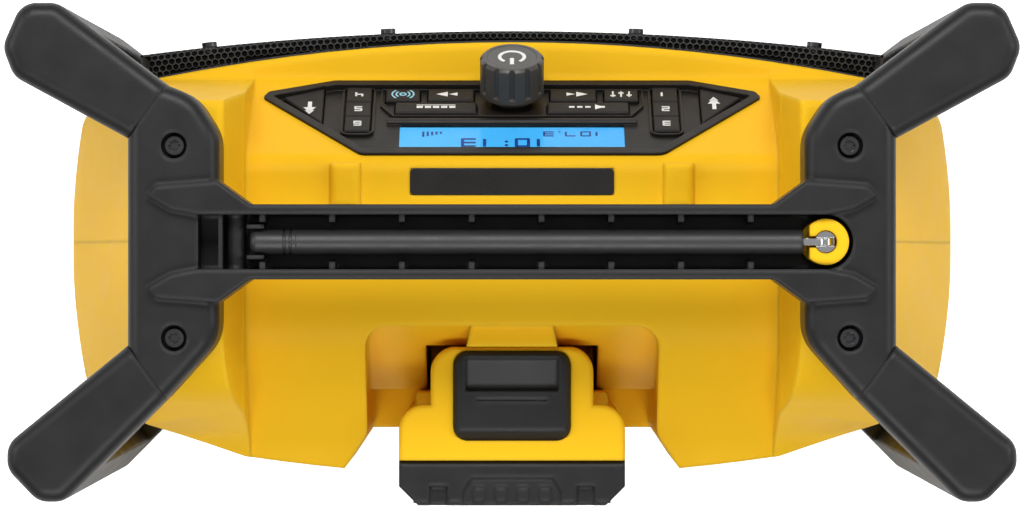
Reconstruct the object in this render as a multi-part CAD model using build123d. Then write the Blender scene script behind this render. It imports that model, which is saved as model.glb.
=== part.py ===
from build123d import *
import math
import os

os.makedirs("parts", exist_ok=True)

# Cordless jobsite radio: a two-half plastic housing in a cage of four C-shaped legs, with a
# handle frame on top, a folding aerial in the handle, a sloping control panel and a battery
# pack that slides down into a bay in the back. Millimetres, +Z up, front towards -Y.
# Everything is laid out about the middle of the handle; keep() then moves each piece so
# that the origin is the middle of the bottom of the whole radio.

# ------------------------------------------------------------------ driving sizes: housing
wall = 3.0
fit_gap = 0.3
body_bottom = 24.0
lip_height = 122.0
plateau_height = 178.0
rail_top = 240.0
rail_rise = 4.0
member_depth = 26.0
half_width = 165.0
base_half_width = 146.0
belly_low = 76.0
belly_drop = 10.0
corner_x = 134.0
front_y = -75.0
front_corner_y = -61.0
side_x = 159.0
side_front_y = -46.0
side_rear_x = 157.0
side_rear_y = 52.0
rear_corner_x = 132.0
rear_corner_y = 66.0
rear_bend_x = 98.0
rear_bend_y = 78.5
rear_y = 86.0
plan_corner_radius = 9.0
lip_edge_radius = 3.0
plateau_front_y = -30.0
plateau_rear_y = 36.0
back_slope_y = 74.0
back_slope_height = 148.0
panel_tilt = 61.0
plateau_front_radius = 9.0
plateau_rear_radius = 30.0
foot_radius = 4.0
shoulder_in_x = 102.0
shoulder_foot_x = 96.0
shoulder_out_x = 134.0
shoulder_half_length = 50.0

# ------------------------------------------------------------ driving sizes: handle and cage
handle_half_width = 13.0
rail_thickness = 3.5
trough_depth = 19.0
handle_depth = 26.0
handle_edge_radius = 6.0
member_in_x = 101.6
member_out_x = 133.5
member_front_y = -37.5
member_rear_y = 34.0
neck_x = 110.0
neck_front_y = -50.6
neck_rear_y = 43.5
member_curve_radius = 16.0
seam_in_x = 120.0
seam_in_y = 54.5
seam_out_y = 36.0
arm_depth = 22.0
post_depth = 25.0
leg_corner_radius = 8.0
leg_edge_radius = 5.0
base_frame_bottom = 5.0
cross_bar_y = 30.0
cross_bar_width = 16.0
cross_bar_depth = 12.0
pad_radius = 9.0
pad_thickness = 3.0
pad_proud = 1.5
front_tip = [(158.0, -83.2), (170.5, -83.2), (177.2, -67.9), (173.2, -57.5)]
rear_tip = [(155.6, 90.4), (164.6, 90.4), (175.5, 79.0), (175.4, 70.2)]

# ------------------------------------------------------------------- driving sizes: fasteners
frame_screw_x = 117.2
frame_screw_y = 33.4
frame_screw_radius = 2.2
frame_screw_length = 34.0
frame_head_radius = 3.3
frame_head_height = 3.0
frame_head_depth = 2.5
star_depth = 1.6
boss_wall = 3.0
shell_screw_radius = 1.8
shell_screw_length = 40.0
shell_screw_places = [(102.0, 134.0), (132.0, 44.0)]
well_radius = 4.0
small_screw_radius = 1.4
small_head_radius = 2.8
small_head_height = 1.8
thread_gap = 0.05
hole_gap = 0.3

# ------------------------------------------------------------- driving sizes: speakers, grille
speaker_x = 70.0
speaker_z = 72.0
speaker_radius = 42.0
speaker_opening = 35.0
speaker_seat_y = -54.0
flange_thickness = 2.4
basket_depth = 26.0
basket_neck_radius = 16.0
magnet_radius = 21.0
magnet_length = 15.0
cone_thickness = 1.0
cone_depth = 16.0
cap_radius = 11.0
speaker_screw_ring = 38.6
speaker_screw_depth = 6.0
grille_half_width = 139.0
grille_bottom = 32.0
grille_top_gap = 4.0
grille_front_y = -79.4
grille_corner_y = -70.3
grille_thickness = 1.2
grille_screw_places = [46.5, 113.5]
grille_screw_drop = 6.0
grille_screw_length = 12.0
grille_spacer_radius = 4.0

# ----------------------------------------------------------------- driving sizes: control panel
panel_margin = 2.9
panel_top_half = 55.0
panel_tip_x = 92.0
panel_tip_y = -15.5
panel_low_tip_x = 90.0
panel_low_tip_y = -20.0
panel_foot_half = 66.0
bezel_proud = 1.0
bezel_flange = 1.5
bezel_rim = 3.4
bezel_depth = 3.6
tray_depth = 1.5
button_gap = 0.35
button_travel = 0.8
button_proud = 0.6
button_height_below = 5.2
board_thickness = 1.6
lens_half_width = 41.0
lens_low_y = 2.4
lens_high_y = 19.6
lens_thickness = 1.2
lens_fit = 0.1
peg_places = [(65.4, -5.0), (48.6, 20.0), (49.3, -13.0)]
peg_radius = 1.6
ledge_half_width = 46.0
ledge_height = 3.2
ledge_rise = 1.6
knob_y = -16.3
knob_radius = 11.8
knob_length = 14.5
knob_neck_radius = 8.2
knob_lift = 2.6
flute_count = 12
flute_radius = 1.1
shaft_radius = 3.0
shaft_fit = 0.05
push_travel = 1.0
bushing_radius = 4.2
bushing_top = 1.2
encoder_half = 6.5
knob_roof = 4.0
knob_chamfer = 1.1
cap_recess = 1.0
cap_border = 2.6
preset_x = 56.6
preset_y = [-19.3, -7.6, 4.1]
preset_width = 9.4
preset_height = 11.0
seek_x = 22.6
seek_width = 17.0
seek_y = -19.4
seek_height = 9.4
mode_x = 28.0
mode_width = 30.0
mode_y = -9.0
mode_height = 8.2
small_x = 40.4
small_width = 12.6
tune_tip_x = 84.5
tune_tip_y = -17.0
tune_side_x = 69.6
tune_high_y = 4.0
tune_low_y = -24.4

# ---------------------------------------------------------------- driving sizes: main board
board_half_width = 72.0
board_low = 60.0
board_high = 152.0
board_gap = 8.0
board_post_x = 25.0
board_post_in = 12.0
board_post_radius = 3.0
heat_sink_half = 22.0
heat_sink_low = 84.0
heat_sink_height = 24.0
tall_part = 11.0
can_places = [-52.0, -38.0, 38.0, 52.0]
can_z = 128.0
can_radius = 5.0

# ---------------------------------------------------------------- driving sizes: pack's end
base_step = 2.0
notch_inner_x = 23.5
notch_width = 6.5
notch_length = 7.0
notch_depth = 3.0
base_panel_half = 17.8
base_panel_length = 10.0
base_panel_depth = 1.2
base_rib_count = 4
base_rib_pitch = 8.0
base_rib_width = 4.2

# -------------------------------------------------------------------- driving sizes: top trims
label_half_width = 36.8
label_back = 8.1
label_depth = 9.8
label_thickness = 1.2
label_recess = 0.8
bump_x = 60.0
bump_width = 11.0
bump_y = -20.5
bump_length = 16.0
bump_height = 4.0

# ------------------------------------------------------------------------ driving sizes: aerial
aerial_x = -108.8
aerial_drop = 8.0
mast_radius = 4.3
mast_start = 7.6
mast_end_x = 75.0
tip_end_x = 91.0
mount_radius = 8.0
mount_bore = 4.0
mount_cut = 5.6
fork_radius = 3.7
fork_gap = 2.8
tongue_thickness = 2.4
tongue_radius = 2.6
pin_radius = 0.8
rib_first_x = 86.4
rib_pitch = 24.15
rib_count = 8
rib_width = 2.0
rib_reach = 2.6
cradle_x = 86.0
cradle_length = 6.0
cradle_thickness = 1.4
rib_drop = 1.6
stop_length = 6.0

# ------------------------------------------------------------------ driving sizes: battery pack
bay_half_width = 53.0
bay_front_y = 30.0
bay_floor = 44.0
bay_foot_y = 72.0
bay_flare_y = 70.0
bay_flare_radius = 8.0
bay_flare_slope = 0.66
ramp_inner_x = 31.5
ramp_rear_y = 54.5
ramp_low_z = 126.0
ramp_high_drop = 6.0
ramp_drop_share = 1.5
tower_clearance = 0.5
bay_corner_radius = 8.0
pack_bottom = 52.0
pack_height = 117.0
tower_front_y = 38.0
tower_half_width = 29.5
shoulder_y = 59.0
pack_half_width = 41.0
pack_parting_y = 79.0
pack_rear_y = 95.5
pack_wall = 2.2
pack_corner = 4.0
tower_radius = 9.0
shoulder_radius = 9.0
base_chamfer = 7.0
cheek_wall = 1.5
cell_gap = 0.6
cell_length = 65.0
pack_head_room = 15.6
cell_count = 5
rail_web_half = 8.0
rail_flange_half = 11.5
rail_flange_y = 44.0
rail_end_y = 49.0
rail_top_z = 140.0
rail_fit = 0.3
dock_half_width = 24.0
dock_depth_y = 57.5
dock_height = 6.5
blade_x = [-18.0, -6.0, 6.0, 18.0]
blade_width = 4.6
blade_thickness = 0.8
blade_length = 13.0
blade_slot = 3.2
contact_thickness = 0.6
release_half_width = 21.0
release_rear_y = 71.6
release_depth = 9.0
release_proud = 3.0
release_travel = 3.5
release_wall = 1.6
release_radius = 5.0
release_chamfer = 1.4
grip_half = 16.8
grip_front = 2.4
grip_rear = 13.0
grip_depth = 3.6
fall_length = 3.6
groove_y = 17.2
groove_width = 0.7

# ------------------------------------------------------------------------------ derived sizes
frame_top = rail_top - rail_rise
shoulder_height = frame_top - member_depth
handle_bottom = rail_top - handle_depth
aerial_z = rail_top - aerial_drop
belly_high = lip_height - belly_drop
grille_top = lip_height - grille_top_gap
tilt = math.radians(panel_tilt)
slope_run = (plateau_height - lip_height) / math.tan(tilt)
lip_rear_y = plateau_front_y - slope_run
panel_middle_y = plateau_front_y - slope_run / 2
panel_middle_z = (plateau_height + lip_height) / 2
panel_half = (plateau_height - lip_height) / math.sin(tilt) / 2 - panel_margin
panel_unit = panel_half / 29.1
label_y = plateau_front_y + label_back
front_sagitta = front_corner_y - front_y
front_radius = (corner_x**2 + front_sagitta**2) / (2 * front_sagitta)
front_centre_y = front_y + front_radius
grille_sagitta = grille_corner_y - grille_front_y
grille_radius = (grille_half_width**2 + grille_sagitta**2) / (2 * grille_sagitta)
grille_centre_y = grille_front_y + grille_radius
trough_floor = rail_top - trough_depth
trough_half = handle_half_width - rail_thickness
pack_top = pack_bottom + pack_height
cell_pitch = (pack_height - pack_head_room - 2 * pack_wall - 4) / cell_count
cell_radius = (cell_pitch - cell_gap) / 2
arm_bottom = frame_top - arm_depth
board_top = -button_height_below - button_travel
lens_low = lens_low_y * panel_unit
lens_high = lens_high_y * panel_unit
knob_middle = knob_y * panel_unit
knob_half = knob_radius * panel_unit
reach = 2 * half_width


# ------------------------------------------------------------------------------ small helpers
def keep(node, shape):
    """Write one node, moved so that the origin is the bottom middle of the whole radio."""
    placed = Pos(0, -origin_y, 0) * shape
    placed.label = node
    export_step(placed, "parts/" + node + ".step")


def block(x, y, z):
    """Box between two limits along each axis."""
    size = (x[1] - x[0], y[1] - y[0], z[1] - z[0])
    return Pos(sum(x) / 2, sum(y) / 2, sum(z) / 2) * Box(*size)


def upright(x, y, z, radius):
    """Cylinder along Z between two heights."""
    return Pos(x, y, sum(z) / 2) * Cylinder(radius, z[1] - z[0])


def rod_y(x, z, y, radius):
    """Cylinder along Y between two limits."""
    return Pos(x, sum(y) / 2, z) * Rot(90, 0, 0) * Cylinder(radius, y[1] - y[0])


def rod_x(y, z, x, radius):
    """Cylinder along X between two limits."""
    return Pos(sum(x) / 2, y, z) * Rot(0, 90, 0) * Cylinder(radius, x[1] - x[0])


def outline(points):
    """Flat face inside a closed run of straight lines."""
    return make_face(Polyline(*points, close=True))


def rounded(corners):
    """Flat face whose corners (x, y, radius) are each rounded by their own radius."""
    face = outline([(x, y) for x, y, radius in corners])
    for x, y, radius in corners:
        if radius > 0:
            corner = face.vertices().sort_by_distance((x, y, 0))[0]
            face = fillet(corner, radius)
    return face


def inset_corners(corners, inset):
    """The same corners with every side moved inwards, outer radii smaller and inner ones larger."""
    count = len(corners)
    area = sum(corners[i - 1][0] * corners[i][1] - corners[i][0] * corners[i - 1][1] for i in range(count))
    turn = 1 if area > 0 else -1
    moved = []
    for i, (x, y, radius) in enumerate(corners):
        before = Vector(x - corners[i - 1][0], y - corners[i - 1][1]).normalized()
        after = Vector(corners[(i + 1) % count][0] - x, corners[(i + 1) % count][1] - y).normalized()
        in_before = Vector(-turn * before.Y, turn * before.X)
        in_after = Vector(-turn * after.Y, turn * after.X)
        shift = (in_before + in_after) * (inset / (1 + in_before.dot(in_after)))
        outer = turn * before.cross(after).Z > 0
        new_radius = 0 if radius == 0 else max(radius - inset, 0) if outer else radius + inset
        moved.append((x + shift.X, y + shift.Y, new_radius))
    return moved


def slab(face, z):
    """Face in the XY plane made solid between two heights."""
    return Pos(0, 0, z[0]) * extrude(face, z[1] - z[0])


def both_sides(shape):
    """The shape and its mirror image across the middle plane."""
    return shape + mirror(shape, Plane.YZ)


def solids(shapes):
    """Separate solids of one node, kept apart."""
    return Compound([piece for shape in shapes for piece in shape.solids()])


def on_panel(shape):
    """Place a shape drawn on the flat into the sloping control panel."""
    direction = (0, -math.sin(tilt), math.cos(tilt))
    seat = Plane(origin=(0, panel_middle_y, panel_middle_z), x_dir=(1, 0, 0), z_dir=direction)
    return seat.location * shape


def star(radius, depth):
    """Six-pointed drive recess, its top at the origin."""
    bar = Pos(0, 0, -depth / 2) * Box(radius * 1.2, radius * 0.45, depth)
    return bar + Rot(0, 0, 60) * bar + Rot(0, 0, 120) * bar


def screw(radius, length, head_radius, head_height, drive_depth):
    """Screw with its head's underside at the origin and its shank going down."""
    head = Pos(0, 0, head_height / 2) * Cylinder(head_radius, head_height)
    shank = Pos(0, 0, -length / 2) * Cylinder(radius, length)
    drive = Pos(0, 0, head_height) * star(head_radius, drive_depth)
    return head + shank - drive


# ----------------------------------------------------------------------------- housing halves
def plan_view(inset):
    """Body outline from above: shallow arcs joined by straight corners, all rounded."""
    right = [
        (corner_x, front_corner_y, 0),
        (side_x, side_front_y, 0),
        (side_rear_x, side_rear_y, 0),
        (rear_corner_x, rear_corner_y, 0),
        (rear_bend_x, rear_bend_y, 0),
    ]
    left = [(-x, y, 0) for x, y, radius in reversed(right)]
    spots = [(x, y) for x, y, radius in inset_corners(right + left, inset)]
    a, b, c, d, e, f, g, h, i, j = spots
    side = half_width - inset
    face = make_face([
        Line(a, b), ThreePointArc(b, (side, 0), c), Line(c, d), Line(d, e),
        ThreePointArc(e, (0, rear_y - inset), f),
        Line(f, g), Line(g, h), ThreePointArc(h, (-side, 0), i), Line(i, j),
        ThreePointArc(j, (0, front_y + inset), a),
    ])
    return fillet(face.vertices(), plan_corner_radius - inset)


def front_view(inset):
    """Body outline from the front: bulging sides, raised shoulders, a lower plateau between."""
    right = [
        (base_half_width, body_bottom, 6),
        (half_width, belly_low, 26),
        (half_width, belly_high, 22),
        (shoulder_out_x, shoulder_height, 3),
        (shoulder_in_x, shoulder_height, 3),
        (shoulder_foot_x, plateau_height, 7),
    ]
    left = [(-x, z, radius) for x, z, radius in reversed(right)]
    return rounded(inset_corners(right + left, inset))


def side_view(top, front_top_y, rear_top_y, front_radius_here, inset):
    """Body outline from the side: front lip, slope, top and falling back."""
    return rounded(inset_corners([
        (2 * front_y, body_bottom, 0),
        (2 * front_y, lip_height, 0),
        (lip_rear_y, lip_height, foot_radius),
        (front_top_y, top, front_radius_here),
        (rear_top_y, top, plateau_rear_radius),
        (back_slope_y, back_slope_height, plateau_rear_radius),
        (2 * rear_y, lip_height - (rear_y - back_slope_y), 0),
        (2 * rear_y, body_bottom, 0),
    ], inset))


def body_form(inset):
    """Outside of the body, or its inside when inset by the wall."""
    plan = slab(plan_view(inset), (0, rail_top))
    front = Pos(0, reach, 0) * extrude(Plane.XZ * front_view(inset), 2 * reach)
    core_side = side_view(plateau_height, plateau_front_y, plateau_rear_y, plateau_front_radius, inset)
    core_half = shoulder_foot_x + inset
    core = Pos(-core_half, 0, 0) * extrude(Plane.YZ * core_side, 2 * core_half)
    flank_side = side_view(shoulder_height, -shoulder_half_length, shoulder_half_length, foot_radius, inset)
    flank_reach = reach - shoulder_foot_x - inset
    flank = Pos(shoulder_foot_x + inset, 0, 0) * extrude(Plane.YZ * flank_side, flank_reach)
    return (plan & core & front) + both_sides(plan & flank & front)


def body_outside():
    """Outside of the body with its front lip and front corners rounded."""
    body = body_form(0)
    outer = []
    for edge in body.edges().filter_by(GeomType.LINE, reverse=True):
        middle = edge.center()
        in_front = middle.Y < front_corner_y + plan_corner_radius
        above_lip = middle.Z > lip_height - fit_gap
        at_step = abs(abs(middle.X) - shoulder_foot_x) < 1
        if in_front and above_lip and not at_step:
            outer.append(edge)
    return fillet(outer, lip_edge_radius)


def bay_room(grow):
    """Space of the battery bay, open to the top and the back, or its walls' outside."""
    flare_end = bay_half_width + (2 * rear_y - bay_flare_y) * bay_flare_slope
    face = rounded([
        (-bay_half_width - grow, bay_front_y - grow, bay_corner_radius + grow),
        (bay_half_width + grow, bay_front_y - grow, bay_corner_radius + grow),
        (bay_half_width + grow, bay_flare_y, bay_flare_radius),
        (flare_end + grow, 2 * rear_y, 0),
        (-flare_end - grow, 2 * rear_y, 0),
        (-bay_half_width - grow, bay_flare_y, bay_flare_radius),
    ])
    foot = slab(face, (0, bay_floor)) & block((-reach, reach), (bay_foot_y - grow, 2 * rear_y), (0, bay_floor))
    return slab(face, (bay_floor - grow, rail_top)) + foot - bay_ramps(grow)


def bay_ramps(shrink):
    """Slope behind the pack and its steps beside it, or their hollow insides when shrunk by the wall."""
    top = plateau_height - ramp_high_drop - ramp_drop_share * shrink
    rear = ramp_rear_y - shrink
    side = make_face(Polyline(
        (0, 0), (rear, 0), (rear, ramp_low_z - ramp_drop_share * shrink), (bay_front_y, top), (0, top), close=True))
    half = bay_half_width + wall + 1
    clear = block((-ramp_inner_x - shrink, ramp_inner_x + shrink),
                  (tower_front_y - tower_clearance - shrink, 2 * rear_y), (0, 2 * rail_top))
    return Pos(-half, 0, 0) * extrude(Plane.YZ * side, 2 * half) - clear


def bay_boss():
    """Tapered block on the bay's front wall that carries the battery rail."""
    face = outline([
        (-rail_flange_half - 3, bay_front_y - wall / 2),
        (rail_flange_half + 3, bay_front_y - wall / 2),
        (rail_flange_half + 5, tower_front_y - fit_gap),
        (-rail_flange_half - 5, tower_front_y - fit_gap),
    ])
    return slab(face, (bay_floor - wall / 2, plateau_height - 5))


def panel_face(grow):
    """Control panel outline, drawn on the flat."""
    face = rounded([
        (panel_top_half, panel_half, 5),
        (panel_tip_x, panel_tip_y * panel_unit, 2),
        (panel_low_tip_x, panel_low_tip_y * panel_unit, 2),
        (panel_foot_half, -panel_half, 5),
        (-panel_foot_half, -panel_half, 5),
        (-panel_low_tip_x, panel_low_tip_y * panel_unit, 2),
        (-panel_tip_x, panel_tip_y * panel_unit, 2),
        (-panel_top_half, panel_half, 5),
    ])
    return offset(face, amount=grow) if grow else face


def frame_screw_spots():
    """Places of the four upright screws, from above."""
    return [(x, y) for x in (-frame_screw_x, frame_screw_x) for y in (-frame_screw_y, frame_screw_y)]


def shell_screw_spots():
    """Places of the screws along Y that close the housing, from the front."""
    return [(side * x, z) for side in (-1, 1) for x, z in shell_screw_places]


def boss_solids():
    """Screw bosses and speaker rings inside the housing, before they are cut to its wall."""
    radius = frame_screw_radius + boss_wall
    top = [upright(x, y, (shoulder_height - frame_screw_length, shoulder_height), radius)
           for x, y in frame_screw_spots()]
    bottom = [upright(x, y, (body_bottom, body_bottom + frame_screw_length), radius)
              for x, y in frame_screw_spots()]
    post_radius = well_radius + boss_wall / 2
    posts = [rod_y(x, z, (front_y, rear_y), post_radius) for x, z in shell_screw_spots()]
    rings = [rod_y(x, speaker_z, (2 * front_y, speaker_seat_y), speaker_radius)
             for x in (-speaker_x, speaker_x)]
    return top + bottom + posts + rings


def shell_screw_seat_y():
    """How far back the heads of the housing screws sit."""
    return shell_screw_length / 2


def housing_cuts():
    """Everything bored through the finished housing."""
    cuts = [upright(x, y, (frame_top - frame_head_depth - frame_screw_length, rail_top),
                    frame_screw_radius + thread_gap) for x, y in frame_screw_spots()]
    cuts += [upright(x, y, (0, base_frame_bottom + frame_head_depth + frame_screw_length - frame_head_height),
                     frame_screw_radius + thread_gap) for x, y in frame_screw_spots()]
    cuts += [rod_y(x, z, (-shell_screw_length / 2, shell_screw_length / 2),
                   shell_screw_radius + thread_gap) for x, z in shell_screw_spots()]
    cuts += [rod_y(x, z, (shell_screw_seat_y(), 2 * rear_y), well_radius)
             for x, z in shell_screw_spots()]
    cuts += [rod_y(x, speaker_z, (3 * front_y, speaker_seat_y + 1), speaker_opening)
             for x in (-speaker_x, speaker_x)]
    cuts += [rod_y(x, z, (speaker_seat_y - speaker_screw_depth - fit_gap, speaker_seat_y),
                   small_screw_radius + thread_gap)
             for x, z in speaker_screw_spots()]
    cuts.append(on_panel(slab(panel_face(-bezel_flange + fit_gap), (-2 * bezel_depth, wall))))
    cuts.append(block((-label_half_width, label_half_width),
                      (label_y - label_depth / 2, label_y + label_depth / 2),
                      (plateau_height - label_recess, shoulder_height)))
    cuts.append(upright(aerial_x, 0, (shoulder_height - 2 * wall, rail_top), mount_radius))
    for x in grille_screw_places:
        for side in (-1, 1):
            cuts.append(grille_spot(side * x)
                        * Cylinder(small_screw_radius + thread_gap, 2 * grille_screw_length))
    return cuts


def top_bumps():
    """Two soft raised pads on the plateau in front of the handle."""
    pad = block((bump_x - bump_width / 2, bump_x + bump_width / 2),
                (bump_y - bump_length / 2, bump_y + bump_length / 2),
                (plateau_height - wall / 2, plateau_height + bump_height))
    pad = fillet(pad.faces().sort_by(Axis.Z)[-1].edges(), 3)
    return both_sides(pad)


def housing_half(rear):
    """One half of the hollow housing, parted at the plane through the handle."""
    y = (0, reach) if rear else (-reach, 0)
    half = block((-reach, reach), y, (0, reach))
    outside = body_outside() & half
    shell = outside - (body_form(wall) - bay_room(wall)) - bay_room(0)
    within = body_form(wall / 2) & half
    for boss in boss_solids():
        piece = boss & within
        if piece:
            shell += piece - bay_room(0)
    for extra in rear_extras() if rear else front_extras():
        shell += extra
    for cut in housing_cuts():
        shell -= cut
    return shell


def front_extras():
    """What stands on the front half."""
    return [top_bumps(), *grille_spacers()]


def rear_extras():
    """What stands on the rear half."""
    return [bay_boss(), *board_posts()]


# ----------------------------------------------------------------------------------- speakers
def speaker_screw_spots():
    """Four screws round each speaker, from the front."""
    spots = []
    for x in (-speaker_x, speaker_x):
        for turn in (45, 135, 225, 315):
            angle = math.radians(turn)
            spots.append((x + speaker_screw_ring * math.cos(angle),
                          speaker_z + speaker_screw_ring * math.sin(angle)))
    return spots


def at_speaker(side, shape):
    """Stand a shape drawn about +Z behind one speaker opening, its seat at the origin."""
    return Pos(side * speaker_x, speaker_seat_y, speaker_z) * Rot(-90, 0, 0) * shape


def speaker_frame(side):
    """Flange and open basket of one speaker."""
    flange = slab(Circle(speaker_radius - fit_gap), (0, flange_thickness))
    rim = speaker_opening - 2
    outer = loft([Circle(rim + 1.5), Pos(0, 0, basket_depth) * Circle(basket_neck_radius)])
    inner = loft([Circle(rim), Pos(0, 0, basket_depth - 2) * Circle(basket_neck_radius - 1.5)])
    frame = flange + outer - inner
    for turn in (0, 90, 180, 270):
        window = Pos(rim * 0.75, 0, basket_depth / 2) * Box(rim * 0.8, rim * 0.7, basket_depth * 0.42)
        frame -= Rot(0, 0, turn) * window
    for x, z in speaker_screw_spots():
        if x * side > 0:
            hole = Pos(x - side * speaker_x, speaker_z - z, 0) * \
                Cylinder(small_screw_radius + hole_gap, 20)
            frame -= hole
    return at_speaker(side, frame)


def speaker_magnet(side):
    """Round magnet on the basket's neck."""
    magnet = slab(Circle(magnet_radius), (basket_depth, basket_depth + magnet_length))
    return at_speaker(side, chamfer(magnet.edges().group_by(Axis.Z)[-1], 1))


def speaker_cone(side):
    """Cone, its half-round surround and its dust cap, seated on the front of the flange."""
    rim = speaker_opening - 0.6
    inner_rim = rim - 6
    profile = make_face(Polyline(
        (rim, 0), (inner_rim, 0), (cap_radius, cone_depth), (0, cone_depth - 4),
        (0, cone_depth - 4 - cone_thickness), (cap_radius, cone_depth - 2 * cone_thickness),
        (inner_rim, -2.6), (rim, -1.2), close=True))
    cone = revolve(Plane.XZ * profile, Axis.Z)
    return at_speaker(side, cone)


def speaker_screws():
    """Eight small screws, heads behind the flanges."""
    one = Rot(-90, 0, 0) * screw(small_screw_radius, speaker_screw_depth + flange_thickness, small_head_radius,
                                 small_head_height, 1.0)
    seat_y = speaker_seat_y + flange_thickness
    return solids([Pos(x, seat_y, z) * one for x, z in speaker_screw_spots()])


# ------------------------------------------------------------------------------------- grille
def front_band(radius, centre_y, half, z):
    """Block with a shallow curved front."""
    ring = slab(Pos(0, centre_y) * Circle(radius), z)
    return ring & block((-half, half), (2 * front_y, 0), z)


def front_gap(x):
    """Room between the grille's inside and the front of the body at x."""
    body = front_centre_y - math.sqrt(front_radius**2 - x**2)
    cover = grille_centre_y - math.sqrt(grille_radius**2 - x**2)
    return body - cover - grille_thickness


def grille():
    """Curved perforated speaker cover with turned-back edges, resting on the housing."""
    edge = grille_thickness
    outer = front_band(grille_radius, grille_centre_y, grille_half_width, (grille_bottom, grille_top))
    inner = front_band(grille_radius - edge, grille_centre_y, grille_half_width - edge,
                       (grille_bottom + edge, grille_top - edge))
    behind = slab(plan_view(0), (0, rail_top))
    cover = outer - inner - behind
    for x in grille_screw_places:
        for side in (-1, 1):
            cover -= grille_spot(side * x) * Cylinder(small_screw_radius + hole_gap, 30)
    return cover


def grille_spot(x):
    """Frame on the grille's face at x, with +Z pointing outwards."""
    angle = math.asin(x / grille_radius)
    spot = Plane(origin=(x, grille_centre_y - grille_radius * math.cos(angle), grille_top - grille_screw_drop),
                 x_dir=(math.cos(angle), math.sin(angle), 0),
                 z_dir=(math.sin(angle), -math.cos(angle), 0))
    return spot.location


def grille_spacers():
    """Low round bosses on the housing that hold the grille at its screws."""
    spacers = []
    for x in grille_screw_places:
        high = front_gap(x) - thread_gap + wall / 2
        for side in (-1, 1):
            middle = -grille_thickness - thread_gap - high / 2
            spacers.append(grille_spot(side * x) * Pos(0, 0, middle) * Cylinder(grille_spacer_radius, high))
    return spacers


def grille_screws():
    """Four small screws through the top edge of the grille."""
    one = Pos(0, 0, 3 * thread_gap) * screw(small_screw_radius, grille_screw_length - 1, small_head_radius,
                                            small_head_height, 1.0)
    return solids([grille_spot(side * x) * one for x in grille_screw_places for side in (-1, 1)])


# ---------------------------------------------------------------------- cage and handle frame
def member_outline():
    """One side member of the handle frame from above, on the +X side."""
    return rounded([
        (member_in_x, member_front_y, member_curve_radius),
        (neck_x, neck_front_y, member_curve_radius),
        (seam_in_x, -seam_in_y, 0),
        (member_out_x, -seam_out_y, 0),
        (member_out_x, seam_out_y, 0),
        (seam_in_x, seam_in_y, 0),
        (neck_x, neck_rear_y, member_curve_radius),
        (member_in_x, member_rear_y, member_curve_radius),
    ])


def fin_outline():
    """Pointed fin where a handle rail runs over a side member, from above."""
    return outline([
        (member_in_x - 11, handle_half_width),
        (member_in_x, handle_half_width + 8),
        (frame_screw_x + 6, handle_half_width + 6.4),
        (frame_screw_x + 9, handle_half_width + 3),
        (frame_screw_x + 1, trough_half + 1.8),
        (frame_screw_x - 8.5, trough_half),
        (member_in_x - 11, trough_half),
    ])


def handle_bar():
    """Channel-shaped grip along X, rounded underneath."""
    bar = block((-member_in_x - 2, member_in_x + 2), (-handle_half_width, handle_half_width),
                (handle_bottom, rail_top))
    low = bar.edges().filter_by(Axis.X).group_by(Axis.Z)[0]
    return fillet(low, handle_edge_radius)


def trough():
    """Room for the folded aerial, round at its pivot end."""
    room = block((aerial_x, -aerial_x), (-trough_half, trough_half), (trough_floor, 2 * rail_top))
    return room + upright(aerial_x, 0, (trough_floor, 2 * rail_top), trough_half)


def trough_ribs():
    """Pairs of small ribs down both walls of the trough, and the clip round the aerial's tip."""
    ribs = []
    tall = (trough_floor - 1, rail_top - rib_drop)
    for index in range(rib_count):
        x = rib_first_x - index * rib_pitch
        for side in (-1, 1):
            y = sorted((side * (trough_half + 0.5), side * (trough_half - rib_reach)))
            ribs.append(block((x - rib_width / 2, x + rib_width / 2), y, tall))
    clip = cradle_x + cradle_length
    ribs.append(block((member_in_x - cradle_thickness, member_in_x), (-trough_half - 1, trough_half + 1),
                      (trough_floor - 1, rail_top - rib_drop)))
    stop = block((clip + 1, clip + 1 + stop_length), (-trough_half - 1, trough_half + 1),
                 (trough_floor - 1, aerial_z + 1))
    ribs.append(fillet(stop.edges().filter_by(Axis.Y).group_by(Axis.Z)[-1], stop_length / 2 - 0.2))
    inner = mast_radius + fit_gap
    for side in (-1, 1):
        y = sorted((side * inner, side * (inner + cradle_thickness)))
        ribs.append(block((cradle_x, clip), y, (trough_floor - 1, aerial_z + mast_radius)))
    return ribs


def handle_frame():
    """H-shaped top frame: two side members joined by the channelled grip."""
    member = slab(member_outline(), (shoulder_height, frame_top))
    middle_x = (seam_in_x + member_out_x) / 2
    middle_y = (seam_in_y + seam_out_y) / 2
    outer = [edge for edge in member.faces().sort_by(Axis.Z)[-1].edges()
             if math.hypot(edge.center().X - middle_x, abs(edge.center().Y) - middle_y) > 1]
    member = fillet(outer, leg_edge_radius)
    fin = slab(fin_outline(), (handle_bottom, rail_top))
    frame = both_sides(member + fin + mirror(fin, Plane.XZ)) + handle_bar() - trough()
    for rib in trough_ribs():
        frame += rib
    frame -= upright(aerial_x, 0, (0, 2 * rail_top), mount_radius + fit_gap)
    for x, y in frame_screw_spots():
        seat = frame_top - frame_head_depth - frame_head_height
        frame -= upright(x, y, (seat, 2 * rail_top), frame_head_radius + 1.2)
        frame -= upright(x, y, (0, 2 * rail_top), frame_screw_radius + hole_gap)
    return frame


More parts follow.
